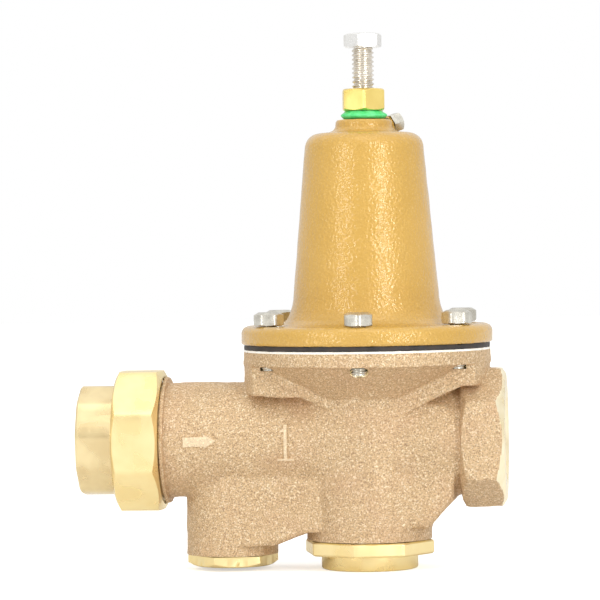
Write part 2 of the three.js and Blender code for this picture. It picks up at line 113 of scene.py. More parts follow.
def outline_distance(across, up, outline):
    """Signed distance to a closed outline in a plane, negative inside."""
    nearest = np.full(across.shape, 1e12)
    inside = np.zeros(across.shape, bool)
    for (x0, y0), (x1, y1) in zip(outline, outline[1:] + outline[:1]):
        edge_x, edge_y = x1 - x0, y1 - y0
        from_x, from_y = across - x0, up - y0
        share = np.clip((from_x * edge_x + from_y * edge_y) / (edge_x**2 + edge_y**2), 0, 1)
        nearest = np.minimum(nearest, (from_x - edge_x * share) ** 2 + (from_y - edge_y * share) ** 2)
        above = up >= y0
        below = up < y1
        left = edge_x * from_y > edge_y * from_x
        inside ^= (above & below & left) | (~above & ~below & ~left)
    return np.where(inside, -1, 1) * np.sqrt(nearest)


def turned_field(radius, height, profile):
    """A turned solid. The profile runs from the bottom to the top, and closes beyond the axis."""
    far = -500
    outline = [(far, profile[0][1])] + list(profile) + [(far, profile[-1][1])]
    return outline_distance(radius, height, outline)


def around_z(p, x=0.0, y=0.0):
    """Distances from an upright line."""
    return np.hypot(p[:, 0] - x, p[:, 1] - y)


def around_flow(p, height=FLOW_HEIGHT):
    """Distances from the flow axis, or from a line beside it at another height."""
    return np.hypot(p[:, 1], p[:, 2] - height)


def rod(radius, along, size, low, high):
    """A cylinder: the distance from its axis, the place along it, its radius and its two ends."""
    side = radius - size
    end = np.maximum(low - along, along - high)
    return np.minimum(np.maximum(side, end), 0) + np.hypot(np.maximum(side, 0), np.maximum(end, 0))


def plate_field(p, outline, half_width, soft):
    """A plate across Y with its outline in X and Z and its edges rounded."""
    flat = outline_distance(p[:, 0], p[:, 2], outline)
    return -blended(-flat, half_width - np.abs(p[:, 1]), soft)


def hex_field(p, half):
    """An endless hexagonal bar along the flow, with two flats facing the front and back."""
    y = np.abs(p[:, 1])
    z = np.abs(p[:, 2] - FLOW_HEIGHT)
    return np.maximum(y, y * 0.5 + z * math.sqrt(0.75)) - half


def blended(first, second, fillet):
    """The union of two fields with a fillet between them."""
    share = np.maximum(fillet - np.abs(first - second), 0) / fillet
    return np.minimum(first, second) - share * share * fillet / 4


def lumps(p, size, seed, waves=12):
    """Smooth irregular waves of about that size, with a mean square of one."""
    rng = np.random.default_rng(seed)
    directions = rng.normal(size=(waves, 3))
    directions /= np.linalg.norm(directions, axis=1)[:, None]
    steps = TURN / (size * rng.uniform(0.6, 1.6, waves))
    phases = rng.uniform(0, TURN, waves)
    return np.sin(p @ (directions * steps[:, None]).T + phases).sum(axis=1) * math.sqrt(2 / waves)


# ---- The surface of a field ----


def in_parts(field, p, most=150000):
    """The field at many points, some at a time, so that memory stays small."""
    return np.concatenate([field(p[i : i + most]) for i in range(0, len(p), most)])


def sampled(field, low, counts, step, brick=8):
    """The field at every grid corner near its surface, and a far value of the right sign elsewhere."""
    bricks = -(-counts // brick)
    places = np.stack(np.meshgrid(*[np.arange(n) for n in bricks], indexing="ij"), -1).reshape(-1, 3)
    middles = low + (places * brick + (brick - 1) / 2) * step
    rough = in_parts(field, middles)
    reach = brick * step * 1.25
    values = np.repeat(np.sign(rough) * 1e3, brick**3).reshape(-1, brick, brick, brick)
    near = np.flatnonzero(np.abs(rough) < reach)
    corner = np.stack(np.meshgrid(*[np.arange(brick)] * 3, indexing="ij"), -1).reshape(-1, 3)
    points = low + (places[near][:, None] * brick + corner[None]).reshape(-1, 3) * step
    values[near] = in_parts(field, points).reshape(-1, brick, brick, brick)
    values = values.reshape(*bricks, brick, brick, brick).transpose(0, 3, 1, 4, 2, 5)
    return values.reshape(*(bricks * brick))


def slope(field, p, reach=0.01):
    """The field's direction of fastest rise."""
    total = np.zeros(p.shape)
    for offset in ((1, 1, 1), (1, -1, -1), (-1, 1, -1), (-1, -1, 1)):
        offset = np.array(offset, float)
        total += in_parts(field, p + offset * reach)[:, None] * offset
    return total / np.maximum(np.linalg.norm(total, axis=1), 1e-12)[:, None]


def contoured(field, low, high, step):
    """Vertices and quads of the field's surface. One vertex a cell sits where the tangent planes of
    the cell's crossings meet, so edges and corners stay sharp."""
    low = np.array(low, float)
    counts = np.ceil((np.array(high, float) - low) / step).astype(int) + 1
    values = sampled(field, low, counts, step)
    shape = np.array(values.shape)
    crossings, normals, cells, flips = [], [], [], []
    for axis in range(3):
        before = np.take(values, np.arange(shape[axis] - 1), axis)
        after = np.take(values, np.arange(1, shape[axis]), axis)
        at = np.argwhere((before < 0) != (after < 0))
        first = before[tuple(at.T)]
        second = after[tuple(at.T)]
        unit = np.zeros(3)
        unit[axis] = step
        start, finish = np.zeros(len(at)), np.ones(len(at))
        v0, v1 = first.copy(), second.copy()
        for _ in range(3):
            share = start + (finish - start) * v0 / (v0 - v1)
            value = in_parts(field, low + at * step + share[:, None] * unit)
            same = (value < 0) == (v0 < 0)
            start, v0 = np.where(same, share, start), np.where(same, value, v0)
            finish, v1 = np.where(same, finish, share), np.where(same, v1, value)
        share = start + (finish - start) * v0 / np.where(v0 == v1, 1, v0 - v1)
        point = low + at * step + share[:, None] * unit
        crossings.append(point)
        normals.append(slope(field, point))
        b, c = (axis + 1) % 3, (axis + 2) % 3
        around = []
        for shift_b, shift_c in ((-1, -1), (0, -1), (0, 0), (-1, 0)):
            cell = at.copy()
            cell[:, b] += shift_b
            cell[:, c] += shift_c
            around.append(np.ravel_multi_index(cell.T, shape))
        cells.append(np.stack(around, 1))
        flips.append(first >= 0)
    crossings, normals = np.concatenate(crossings), np.concatenate(normals)
    cells, flips = np.concatenate(cells), np.concatenate(flips)
    used, index = np.unique(cells, return_inverse=True)
    index = index.reshape(cells.shape)
    flat = index.ravel()
    repeated_points = np.repeat(crossings, 4, axis=0)
    repeated_normals = np.repeat(normals, 4, axis=0)
    count = np.bincount(flat, minlength=len(used)).astype(float)

    def summed(values):
        return np.bincount(flat, weights=values, minlength=len(used))

    middle = np.stack([summed(repeated_points[:, i]) for i in range(3)], 1) / count[:, None]
    offsets = np.einsum("ij,ij->i", repeated_normals, repeated_points - middle[flat])
    matrix = np.empty((len(used), 3, 3))
    right = np.empty((len(used), 3))
    for i in range(3):
        right[:, i] = summed(repeated_normals[:, i] * offsets)
        for j in range(3):
            matrix[:, i, j] = summed(repeated_normals[:, i] * repeated_normals[:, j])
    matrix += np.eye(3) * 0.03
    move = np.linalg.solve(matrix, right[:, :, None])[:, :, 0]
    cell_low = low + np.stack(np.unravel_index(used, shape), 1) * step
    vertices = np.clip(middle + move, cell_low, cell_low + step)
    quads = np.where(flips[:, None], index[:, ::-1], index)
    return vertices, quads


# ---- Pieces ----


def piece(name, body, shape, materials, nodes=(), sharp=32, bevel=0.0, weld=True):
    """An object made of millimetre points and faces. It rides on a body, or on none."""
    points, faces = shape
    placed = (np.asarray(points) + np.array([0, 0, LIFT])) * MM
    mesh = bpy.data.meshes.new(name)
    mesh.from_pydata(placed.tolist(), [], [list(map(int, f)) for f in faces])
    if weld:
        work = bmesh.new()
        work.from_mesh(mesh)
        bmesh.ops.remove_doubles(work, verts=work.verts, dist=2e-6)
        bmesh.ops.dissolve_degenerate(work, dist=1e-6, edges=work.edges)
        bmesh.ops.recalc_face_normals(work, faces=work.faces)
        work.to_mesh(mesh)
        work.free()
    for material in materials:
        mesh.materials.append(material)
    mesh.polygons.foreach_set("use_smooth", np.ones(len(mesh.polygons), bool))
    mesh.set_sharp_from_angle(angle=math.radians(sharp))
    mesh.update()
    thing = bpy.data.objects.new(name, mesh)
    bpy.context.scene.collection.objects.link(thing)
    if bevel:
        modifier = thing.modifiers.new("edges", "BEVEL")
        modifier.width = bevel * MM
        modifier.segments = 2
        modifier.limit_method = "ANGLE"
        modifier.angle_limit = math.radians(sharp)
        modifier.harden_normals = True
    if body:
        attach(thing, body)
    if nodes:
        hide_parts(*nodes)
    return thing


def even_angles(count=96):
    return np.arange(count) * TURN / count


def polygon(sides, turn, flat, soft, across=8):
    """Angles and radii of a regular polygon with rounded corners. The radius of its flats is flat, and
    there are that many points across each of them."""
    half = math.pi / sides
    centre = (flat - soft) / math.cos(half)
    spread = math.atan2(soft * math.sin(half), centre + soft * math.cos(half))
    corner = [-spread, -spread / 2, 0, spread / 2]
    over = list(np.linspace(spread, 2 * half - spread, across, endpoint=False))
    first = math.radians(turn - 90)
    angles = np.array([first + i * 2 * half + a for i in range(sides) for a in corner + over])
    away = np.abs((angles - first + half) % (2 * half) - half)
    arc = centre * np.cos(away) + np.sqrt(np.maximum(soft**2 - (centre * np.sin(away)) ** 2, 0))
    return angles, np.where(away < spread, arc, flat / np.cos(half - away))


def ring_points(radius, height, angles):
    """A ring of points about Z. The radius and the height are one number, or one an angle."""
    radius = np.broadcast_to(radius, len(angles))
    height = np.broadcast_to(height, len(angles))
    return np.stack([radius * np.cos(angles), radius * np.sin(angles), height], 1)


def wound(rings, angles, closed=False):
    """A solid of rings about Z, each a radius and a height. A closed one joins its last ring to its
    first, and an open one is capped at both ends."""
    count = len(angles)
    points = [ring_points(radius, height, angles) for radius, height in rings]
    faces = []
    rows = len(rings)
    for i in range(rows if closed else rows - 1):
        below, above = i * count, (i + 1) % rows * count
        for j in range(count):
            k = (j + 1) % count
            faces.append((below + j, below + k, above + k, above + j))
    if not closed:
        faces.append(tuple(range(count))[::-1])
        faces.append(tuple(range((rows - 1) * count, rows * count)))
    return np.concatenate(points), faces


def turned(rings, count=96, closed=True):
    """A round solid."""
    return wound(rings, even_angles(count), closed)


def threaded(crest, root, pitch, low, high, backing=0.0, columns=72):
    """A thread about Z between two heights. Its surface follows the helix. With no backing the solid
    reaches to the axis, and otherwise to the backing radius inside or outside it."""
    crest_and_root = [(0.0, 1.0), (0.16, 1.0), (0.5, 0.0), (0.66, 0.0)]  # shares of a turn and of the crest
    turns = int(math.ceil((high - low) / pitch)) + 2
    angles = even_angles(columns)
    points = []
    for turn in range(-1, turns):
        for phase, level in crest_and_root:
            height = low + pitch * (turn + phase + angles / TURN)
            inner = np.clip(np.minimum(height - low, high - height) / (0.7 * pitch), 0, 1)
            radius = root + (crest - root) * level * inner
            points.append(ring_points(radius, np.clip(height, low, high), angles))
    rows, a_turn = len(points), len(crest_and_root)
    faces = []
    for i in range(rows - 1):
        for j in range(columns - 1):
            start, above = i * columns + j, (i + 1) * columns + j
            faces.append((start, start + 1, above + 1, above))
        if i + 1 + a_turn < rows:
            last = (i + 1) * columns - 1
            onward = (i + a_turn) * columns
            faces.append((last, onward, onward + columns, last + columns))
    bottom = list(range(columns))
    top = [(rows - 1) * columns + j for j in range(columns)]
    if not backing:
        faces += [tuple(bottom[::-1]), tuple(top)]
        return np.concatenate(points), faces
    points += [ring_points(backing, height, angles) for height in (low, high)]
    low_back = [rows * columns + j for j in range(columns)]
    high_back = [(rows + 1) * columns + j for j in range(columns)]
    for j in range(columns):
        k = (j + 1) % columns
        faces.append((bottom[j], bottom[k], low_back[k], low_back[j]))
        faces.append((low_back[j], low_back[k], high_back[k], high_back[j]))
        faces.append((high_back[j], high_back[k], top[k], top[j]))
    return np.concatenate(points), faces


def nut_shape(half, soft, turn, low, high, bore=0.0, low_start=None, high_start=None):
    """A hexagonal nut or head about Z. A chamfer, where one is given, starts at that radius on the
    end face."""
    angles, side = polygon(6, turn, half, soft)
    rings = []
    if low_start is None:
        rings.append((side, low))
    else:
        rings.append((np.minimum(side, low_start), low))
        rings.append((side, low + np.maximum(side - low_start, 0) * TAN_30))
    if high_start is None:
        rings.append((side, high))
    else:
        rings.append((side, high - np.maximum(side - high_start, 0) * TAN_30))
        rings.append((np.minimum(side, high_start), high))
    if bore:
        lead = 0.5
        rings += [(bore + lead, high), (bore, high - lead), (bore, low + lead), (bore + lead, low)]
    return wound(rings, angles, closed=bool(bore))


def ring_shape(inner, outer, low, high, soft=0.2, count=96):
    """A plain ring with broken edges."""
    rings = [
        (inner, low + soft), (inner + soft, low), (outer - soft, low), (outer, low + soft),
        (outer, high - soft), (outer - soft, high), (inner + soft, high), (inner, high - soft),
    ]
    return turned(rings, count)


def ring_cord(middle, wire, height, count=64, around=12):
    """A ring of round section."""
    section = even_angles(around)
    return turned([(middle + wire * math.cos(a), height + wire * math.sin(a)) for a in section], count)


def merged(*shapes):
    """Several shapes as one."""
    points, faces, start = [], [], 0
    for some_points, some_faces in shapes:
        points.append(np.asarray(some_points))
        faces.extend([tuple(start + k for k in face) for face in some_faces])
        start += len(some_points)
    return np.concatenate(points), faces


def along_flow(shape):
    """Lays a shape made about Z along the flow axis, with its heights turned to +X."""
    points, faces = shape
    return np.stack([points[:, 2], points[:, 1], FLOW_HEIGHT - points[:, 0]], 1), faces


def shifted(shape, x, y=0.0):
    """A shape moved sideways."""
    points, faces = shape
    return points + np.array([x, y, 0.0]), faces


# ---- Materials ----


def linear(red, green, blue):
    """A screen colour, 0 to 255, as shader values with no transparency."""
    values = []
    for value in (red, green, blue):
        share = value / 255
        values.append(share / 12.92 if share <= 0.04045 else ((share + 0.055) / 1.055) ** 2.4)
    return (*values, 1)


def put(value, socket):
    """Sets a socket, or links it where the value is another node's output."""
    if isinstance(value, bpy.types.NodeSocket):
        socket.id_data.links.new(value, socket)
    else:
        socket.default_value = value


def fill(node, **values):
    """Puts values in a node's inputs by their names."""
    for name, value in values.items():
        put(value, node.inputs[name.replace("_", " ")])


def new_node(tree, kind, **values):
    """A new shader node, filled in."""
    node = tree.nodes.new("ShaderNode" + kind)
    fill(node, **values)
    return node


def eased(tree, value, low, high, to_low=0.0, to_high=1.0):
    """A value turned smoothly from one range to another."""
    node = new_node(tree, "MapRange", Value=value, From_Min=low, From_Max=high, To_Min=to_low, To_Max=to_high)
    node.interpolation_type = "SMOOTHSTEP"
    return node.outputs["Result"]


def product(tree, first, second):
    """Two values multiplied."""
    node = tree.nodes.new("ShaderNodeMath")
    node.operation = "MULTIPLY"
    put(first, node.inputs[0])
    put(second, node.inputs[1])
    return node.outputs["Value"]


class Finish:
    """A node material whose patterns are measured in millimetres on the piece itself. Colours are
    screen colours, 0 to 255."""

    def __init__(self, name, colour, roughness, metallic):
        self.material = bpy.data.materials.new(name)
        self.material.use_nodes = True
        self.tree = self.material.node_tree
        self.shader = self.tree.nodes["Principled BSDF"]
        fill(self.shader, Base_Color=linear(*colour), Roughness=roughness, Metallic=metallic)
        place = new_node(self.tree, "TexCoord").outputs["Object"]
        self.place = self.scaled(place, 1 / MM, 1 / MM, 1 / MM)
        self.normal = None

    def scaled(self, place, *scale):
        return new_node(self.tree, "Mapping", Vector=place, Scale=scale).outputs["Vector"]

    def noise(self, size, detail=2.0, roughness=0.5, place=None):
        node = new_node(self.tree, "TexNoise", Scale=1 / size, Detail=detail, Roughness=roughness)
        put(place or self.place, node.inputs["Vector"])
        return node.outputs["Fac"]

    def grains(self, size):
        """A random value for each grain."""
        return new_node(self.tree, "TexVoronoi", Scale=1 / size, Vector=self.place).outputs["Color"]

    def spread(self, value, *ranges):
        return eased(self.tree, value, *ranges)

    def mixed(self, share, first, second):
        """A colour between two, each from a node or given as numbers."""
        node = self.tree.nodes.new("ShaderNodeMix")
        node.data_type = "RGBA"
        for number, value in ((0, share), (6, first), (7, second)):
            put(linear(*value) if isinstance(value, tuple) else value, node.inputs[number])
        return node.outputs[2]

    def bump(self, height, depth, strength):
        node = new_node(self.tree, "Bump", Strength=strength, Distance=depth * MM, Height=height)
        if self.normal is not None:
            put(self.normal, node.inputs["Normal"])
        self.normal = node.outputs["Normal"]

    def done(self, colour, roughness, **settings):
        """Connects the patterns, sets the shader's plain numbers and gives the material."""
        fill(self.shader, Base_Color=colour, Roughness=roughness, Normal=self.normal, Coat_Normal=self.normal)
        fill(self.shader, **settings)
        return self.material


def clouded(name, base, roughness, metallic, deep, pale, cloud, fine, relief, dull):
    """A finish that drifts between two colours and two roughnesses. The drift's size is cloud. The
    fine noise, with its size and detail, gives a relief of some depth and strength."""
    finish = Finish(name, base, roughness, metallic)
    drift = finish.noise(cloud, 3)
    colour = finish.mixed(finish.spread(drift, 0.3, 0.7), deep, pale)
    finish.bump(finish.noise(*fine), *relief)
    return finish.done(colour, finish.spread(drift, 0.3, 0.7, *dull))


def sand_cast_bronze(name, worn=0.0):
    """Bronze with the sand's fine grain and glitter. The glitter is shinier grains that are also painted
    pale, a painted glint. A worn one is paler, as raised marks are.
    """
    finish = Finish(name, (228, 199, 156), 0.5, 0.4)
    grain = finish.noise(0.48, 2, 0.6)
    coarse = finish.noise(1.3, 2, 0.6)
    stain = finish.noise(17, 3, 0.55)
    sparkle = finish.grains(0.46)
    tan, brown, pale = (217, 187, 145), (156, 125, 92), (255, 240, 208)
    colour = finish.mixed(finish.spread(grain, 0.3, 0.58), brown, tan)
    colour = finish.mixed(finish.spread(coarse, 0.38, 0.62, 0.16, 0), colour, brown)
    # Painted glint: the sparkle grains are painted pale as well as made less rough.
    colour = finish.mixed(finish.spread(sparkle, 0.6, 0.95, 0, 0.65), colour, pale)
    colour = finish.mixed(finish.spread(stain, 0.42, 0.7, 0, 0.2), colour, (200, 158, 124))
    if worn:
        colour = finish.mixed(worn, colour, (255, 238, 204))
    finish.bump(finish.noise(3.2, 3, 0.6), 0.3, 0.5)
    finish.bump(grain, 0.17, 0.8)
    return finish.done(colour, finish.spread(sparkle, 0.7, 0.95, 0.58, 0.34))


def turned_brass(name, deep, pale):
    """Brass with faint clouds and a few darker specks."""
    finish = Finish(name, pale, 0.25, 0.8)
    cloud = finish.noise(11)
    speck = finish.noise(0.6, 3, 0.6)
    colour = finish.mixed(finish.spread(cloud, 0.3, 0.7), deep, pale)
    colour = finish.mixed(finish.spread(speck, 0.66, 0.76, 0, 0.25), colour, (196, 152, 90))
    finish.bump(finish.noise(7), 0.05, 0.3)
    finish.bump(speck, 0.03, 0.6)
    return finish.done(colour, finish.spread(cloud, 0.25, 0.75, 0.24, 0.34))


def gold_paint():
    """Glossy metallic paint with pale and dark flecks and an orange-peel skin."""
    finish = Finish("gold_paint", (212, 166, 78), 0.42, 0.15)
    cloud = finish.noise(22)
    fleck = finish.noise(0.7, 2, 0.6)
    colour = finish.mixed(finish.spread(cloud, 0.3, 0.7), (200, 156, 62), (205, 161, 69))
    colour = finish.mixed(finish.spread(fleck, 0.52, 0.72, 0, 0.3), colour, (234, 200, 122))
    colour = finish.mixed(finish.spread(fleck, 0.3, 0.42, 0.25, 0), colour, (192, 146, 62))
    finish.bump(finish.noise(1.05, 1, 0.4), 0.4, 0.8)
    dull = finish.spread(fleck, 0.3, 0.7, 0.46, 0.36)
    return finish.done(colour, dull, Coat_Weight=0.8, Coat_Roughness=0.06)


def bright_steel(name, deep, pale):
    """Steel with fine upright scratches."""
    finish = Finish(name, pale, 0.28, 0.9)
    cloud = finish.noise(4, 3)
    scratch = finish.noise(0.35, 2, 0.6, place=finish.scaled(finish.place, 1, 1, 0.3))
    colour = finish.mixed(finish.spread(cloud, 0.3, 0.7), deep, pale)
    finish.bump(scratch, 0.004, 0.4)
    return finish.done(colour, finish.spread(scratch, 0.3, 0.7, 0.26, 0.34))


def grey_fibre():
    """Pressed fibre, dull and matted."""
    finish = Finish("grey_fibre", (120, 114, 104), 0.85, 0.0)
    fibre = finish.noise(0.6, 4, 0.7)
    colour = finish.mixed(finish.spread(fibre, 0.35, 0.65), (92, 86, 78), (142, 136, 124))
    finish.bump(fibre, 0.1, 0.7)
    return finish.done(colour, finish.spread(fibre, 0.3, 0.7, 0.78, 0.95))


BRONZE = sand_cast_bronze("sand_cast_bronze")
RUBBED = sand_cast_bronze("rubbed_bronze", worn=0.45)
MACHINED = clouded(
    "machined_bronze", (252, 238, 200), 0.3, 0.75, deep=(248, 230, 186), pale=(255, 244, 212),
    cloud=9, fine=(0.5, 2, 0.6), relief=(0.02, 0.5), dull=(0.24, 0.38),
)
# The flange's machined rim is painted near-white and barely metallic: a painted highlight, the white line of
# light along that edge.
PAINTED_HIGHLIGHT = clouded(
    "painted_highlight_edge", (254, 250, 240), 0.3, 0.1, deep=(250, 243, 228), pale=(255, 253, 247),
    cloud=6, fine=(0.5, 2), relief=(0.02, 0.5), dull=(0.26, 0.4),
)
SPRING = clouded(
    "spring_steel", (120, 120, 118), 0.35, 1.0, deep=(98, 98, 98), pale=(140, 138, 134),
    cloud=5, fine=(0.7, 2), relief=(0.03, 0.5), dull=(0.3, 0.46),
)
RUBBER = clouded(
    "black_rubber", (52, 46, 42), 0.6, 0.0, deep=(40, 36, 34), pale=(66, 58, 52),
    cloud=5, fine=(0.8, 3), relief=(0.08, 0.6), dull=(0.5, 0.72),
)
GREEN = clouded(
    "green_seal", (70, 222, 128), 0.35, 0.0, deep=(52, 210, 112), pale=(112, 232, 150),
    cloud=3, fine=(1.2, 2), relief=(0.08, 0.6), dull=(0.32, 0.5),
)
BRASS = turned_brass("turned_brass", (250, 226, 162), (255, 236, 178))
YELLOW = turned_brass("yellow_brass", (244, 214, 120), (252, 226, 138))
TAIL_BRASS = turned_brass("dull_brass", (226, 202, 152), (242, 222, 172))
STEEL = bright_steel("stainless", (240, 238, 233), (250, 249, 246))
# A darker, warmer copy of the stainless for the flange screws and the vent plug: painted shade, the shade
# seen on the screw heads put into their colour.
SHADE_DARKENED_STEEL = bright_steel("shade_darkened_steel", (196, 192, 180), (226, 222, 210))
ROLLED = bright_steel("rolled_thread", (212, 204, 190), (236, 230, 220))
PAINT, FIBRE = gold_paint(), grey_fibre()

# ---- The cast body ----

INLET_RADIUS, INLET_LEFT = 22.1, -86
NECK_RADIUS, SHOULDER_RADIUS, LEG_RADIUS = 22, 23.8, 17.6
MALE_CREST, MALE_ROOT = 23.5, 22.2
THREAD_RIGHT = -75.8
PIPE_CREST, PIPE_ROOT = 15.2, 16.4
HEX_LEFT, HEX_HALF = 36.4, 25.6
HEX_BARE = HEX_LEFT + 8  # the right end's turning is bare metal, and starts beyond here
HEX_FACE, HEX_DRESSED = 23.4, 26.4  # the end face's radius, and half the height between the dressed corners
BARREL_BOTTOM = 9.9
LAND_BOTTOM, LAND_TOP = FLANGE_TOP - 0.4, FLANGE_TOP + 0.4  # the flange's machined rim
LAND_INNER = 45.3
FLANGE_BOTTOM, FLANGE_SOFT = 77.9, 0.6
CHAMBER_RADIUS = 37.5
BOLT_HOLE_RADIUS = 3.5
WEB_HALF, GUSSET_HALF, WING_HALF = 17.4, 19, 21.3
SOCKET_LEFT, SOCKET_RIGHT = 31, OUTLET_RIGHT - 1.2  # the outlet's thread, before its chamfer
BEYOND = 200  # further than any end of the casting

BARREL_PROFILE = [
    (24, BARREL_BOTTOM - 1), (24, 12), (24.3, 15.5), (24.3, 60.5), (25.2, 64.4), (30.5, 68.7),
    (37.5, 73.3), (44, 77.3), (44, 80),
]
WEB_OUTLINE = [(LEG_X, 8), (-36, 8.5), (-22, 13.5), (0, 13.5), (0, 44), (LEG_X, 44)]
GUSSET_OUTLINE = [(0, 14.8), (23.4, 14.8), (33.5, 25.2), (34, 34), (33, 45), (30, 62), (0, 62)]
LEFT_WING = [
    (0, 55), (0, 79), (-60, 79), (-60, 66.8), (-45, 66.2), (-31, 65.3), (-24, 65.3), (-18, 62.6),
    (-12.6, 59.4), (-10, 56),
]
RIGHT_WING = [(0, 53), (11, 54), (18, 59.4), (27.5, 64.8), (38, 69.1), (60, 69.6), (60, 79), (0, 79)]


def lowest(fields):
    """The union of many fields."""
    return np.minimum.reduce(fields)


def wings(p):
    """The two wings that carry the flange's side bolts, no wider than the flange."""
    both = lowest([plate_field(p, outline, WING_HALF, 0.9) for outline in (LEFT_WING, RIGHT_WING)])
    return -blended(-both, FLANGE_RADIUS - 0.2 - around_z(p), 0.8)


def outlet_turning(p):
    """The two cones that turn the ends off the outlet's hexagon."""
    corner = HEX_HALF / math.cos(TURN / 12)
    profile = [
        (HEX_HALF - 1, HEX_LEFT), (corner, HEX_LEFT + (corner - HEX_HALF + 1) * TAN_30),
        (corner, OUTLET_RIGHT - (corner - HEX_FACE) * TAN_30), (HEX_FACE, OUTLET_RIGHT + 0.3),
    ]
    return turned_field(around_flow(p), p[:, 0], profile)


def outlet_hex(p):
    """The outlet's hexagon, its ends turned off and its top and bottom corners dressed flat."""
    dressed = np.abs(p[:, 2] - FLOW_HEIGHT) - HEX_DRESSED
    return np.maximum(-blended(-hex_field(p, HEX_HALF), -outlet_turning(p), 0.5), dressed)


def body_skin(p):
    """The casting as it leaves the sand. The last number of each blend is its fillet."""
    x, z, flow, axis = p[:, 0], p[:, 2], around_flow(p), around_z(p)
    barrel = turned_field(axis, z, BARREL_PROFILE)
    flange = rod(axis, z, FLANGE_RADIUS - FLANGE_SOFT, FLANGE_BOTTOM, FLANGE_TOP + 1) - FLANGE_SOFT
    inlet = rod(flow, x, INLET_RADIUS, INLET_LEFT, 0)
    leg_part = rod(around_z(p, LEG_X), z, LEG_RADIUS, LEG_BOTTOM - 1, FLOW_HEIGHT)
    web = plate_field(p, WEB_OUTLINE, WEB_HALF, 1.6)
    gusset = plate_field(p, GUSSET_OUTLINE, GUSSET_HALF, 2.5)
    neck = rod(flow, x, NECK_RADIUS, 0, HEX_LEFT + 2)
    shoulder = rod(flow, x, SHOULDER_RADIUS, NUT_RIGHT + 0.9, NUT_RIGHT + 1.3) - 0.5
    shell = blended(barrel, gusset, 1.8)
    shell = blended(shell, neck, 3)
    lower_left = blended(leg_part, web, 0.8)
    shell = blended(blended(shell, inlet, 4), lower_left, 0.7)
    shell = blended(shell, shoulder, 0.6)
    shell = blended(shell, wings(p), 1.0)
    shell = blended(shell, flange, 0.9)
    shell = blended(shell, outlet_hex(p), 0.8)
    return shell + lumps(p, 13, 3) * 0.1 + lumps(p, 4.5, 5) * 0.045


def bolt_places():
    """Where the flange screws stand, from the front one round to the right."""
    for i in range(BOLT_COUNT):
        angle = i * TURN / BOLT_COUNT - TURN / 4
        yield BOLT_CIRCLE * math.cos(angle), BOLT_CIRCLE * math.sin(angle)


def bolt_end(x):
    """The lower end of a screw at that place. The side ones stop higher, inside the wings."""
    return BOLT_TIP if abs(x) < 1 else BOLT_TIP + 1.4


def bolt_holes(p):
    """The clearance holes of all the flange screws."""
    return lowest([
        rod(around_z(p, x, y), p[:, 2], BOLT_HOLE_RADIUS, bolt_end(x) - 0.2, BEYOND) for x, y in bolt_places()
    ])


def body_cuts(p):
    """Everything that is drilled, bored or faced, as the distance outside the cutting tools."""
    x, z, flow, axis, leg_axis = p[:, 0], p[:, 2], around_flow(p), around_z(p), around_z(p, LEG_X)
    socket = [(PIPE_ROOT, SOCKET_LEFT), (PIPE_ROOT, SOCKET_RIGHT), (PIPE_ROOT + 3, SOCKET_RIGHT + 3)]
    inlet_bore = rod(flow, x, 15.5, -BEYOND, -40)
    outlet_socket = turned_field(flow, x, socket)
    outlet_passage = rod(around_flow(p, FLOW_HEIGHT + 2), x, 11, 14, 33)
    screen_room = rod(leg_axis, z, 13.5, -BEYOND, 34)
    cap_room = rod(leg_axis, z, 15.6, -BEYOND, 6.2)
    cross_passage = rod(around_flow(p, 26), x, 7.5, LEG_X, 0)
    disc_room = rod(axis, z, 17.2, -BEYOND, 36)
    plug_room = rod(axis, z, 21.4, -BEYOND, 11.8)
    barrel_face = rod(axis, z, 30, -BEYOND, BARREL_BOTTOM)
    seat_bore = rod(axis, z, 11, 35, 41)
    outlet_room = rod(axis, z, 17.5, 40, 60)
    stem_hole = rod(axis, z, 4.8, 59, 80)
    seal_groove = np.maximum(rod(axis, z, 6.9, 67.6, 71.4), 4.0 - axis)
    sensing_hole = rod(around_z(p, 13), z, 1.6, 59, 66)
    chamber = turned_field(axis, z, [(20.5, 65), (CHAMBER_RADIUS, 79.5), (CHAMBER_RADIUS, 90)])
    stem_boss = rod(axis, z, 8.6, 60, 75.7)
    land_step = np.maximum(LAND_BOTTOM - z, LAND_INNER - axis)
    return lowest([
        inlet_bore, outlet_socket, outlet_passage, screen_room, cap_room, cross_passage, disc_room,
        plug_room, barrel_face, seat_bore, outlet_room, stem_hole, seal_groove, sensing_hole,
        np.maximum(chamber, -stem_boss), bolt_holes(p), land_step, FLANGE_TOP - z,
        OUTLET_RIGHT - 0.05 - x, x - THREAD_LEFT - 0.05, z - LEG_BOTTOM,
    ])


def body_field(p):
    """The casting with its threaded end, cut."""
    threaded_end = rod(around_flow(p), p[:, 0], MALE_ROOT - 0.4, THREAD_LEFT, THREAD_RIGHT)
    return np.maximum(np.minimum(body_skin(p), threaded_end), -body_cuts(p))


def body_piece():
    """The casting. Faces that a tool has cut, away from the sand's skin, are bare, as the threaded
    end and the outlet's turned end are."""
    low = (THREAD_LEFT - 2, -FLANGE_RADIUS - 2, LEG_BOTTOM - 2)
    high = (OUTLET_RIGHT + 2, FLANGE_RADIUS + 2, FLANGE_TOP + 2)
    points, quads = contoured(body_field, low, high, 0.91)
    thing = piece("body_casting", "regulator_body", (points, quads), [BRONZE, MACHINED],
                  ["body"], sharp=38, weld=False)
    middles = points[quads].mean(axis=1)
    bare = (in_parts(body_skin, middles) < -0.15) & (np.abs(in_parts(body_cuts, middles)) < 0.3)
    bare |= middles[:, 0] < NUT_RIGHT
    bare |= (middles[:, 0] > HEX_BARE) & (outlet_turning(middles) > hex_field(middles, HEX_HALF) + 0.1)
    thing.data.polygons.foreach_set("material_index", bare.astype(np.int32))


body_piece()
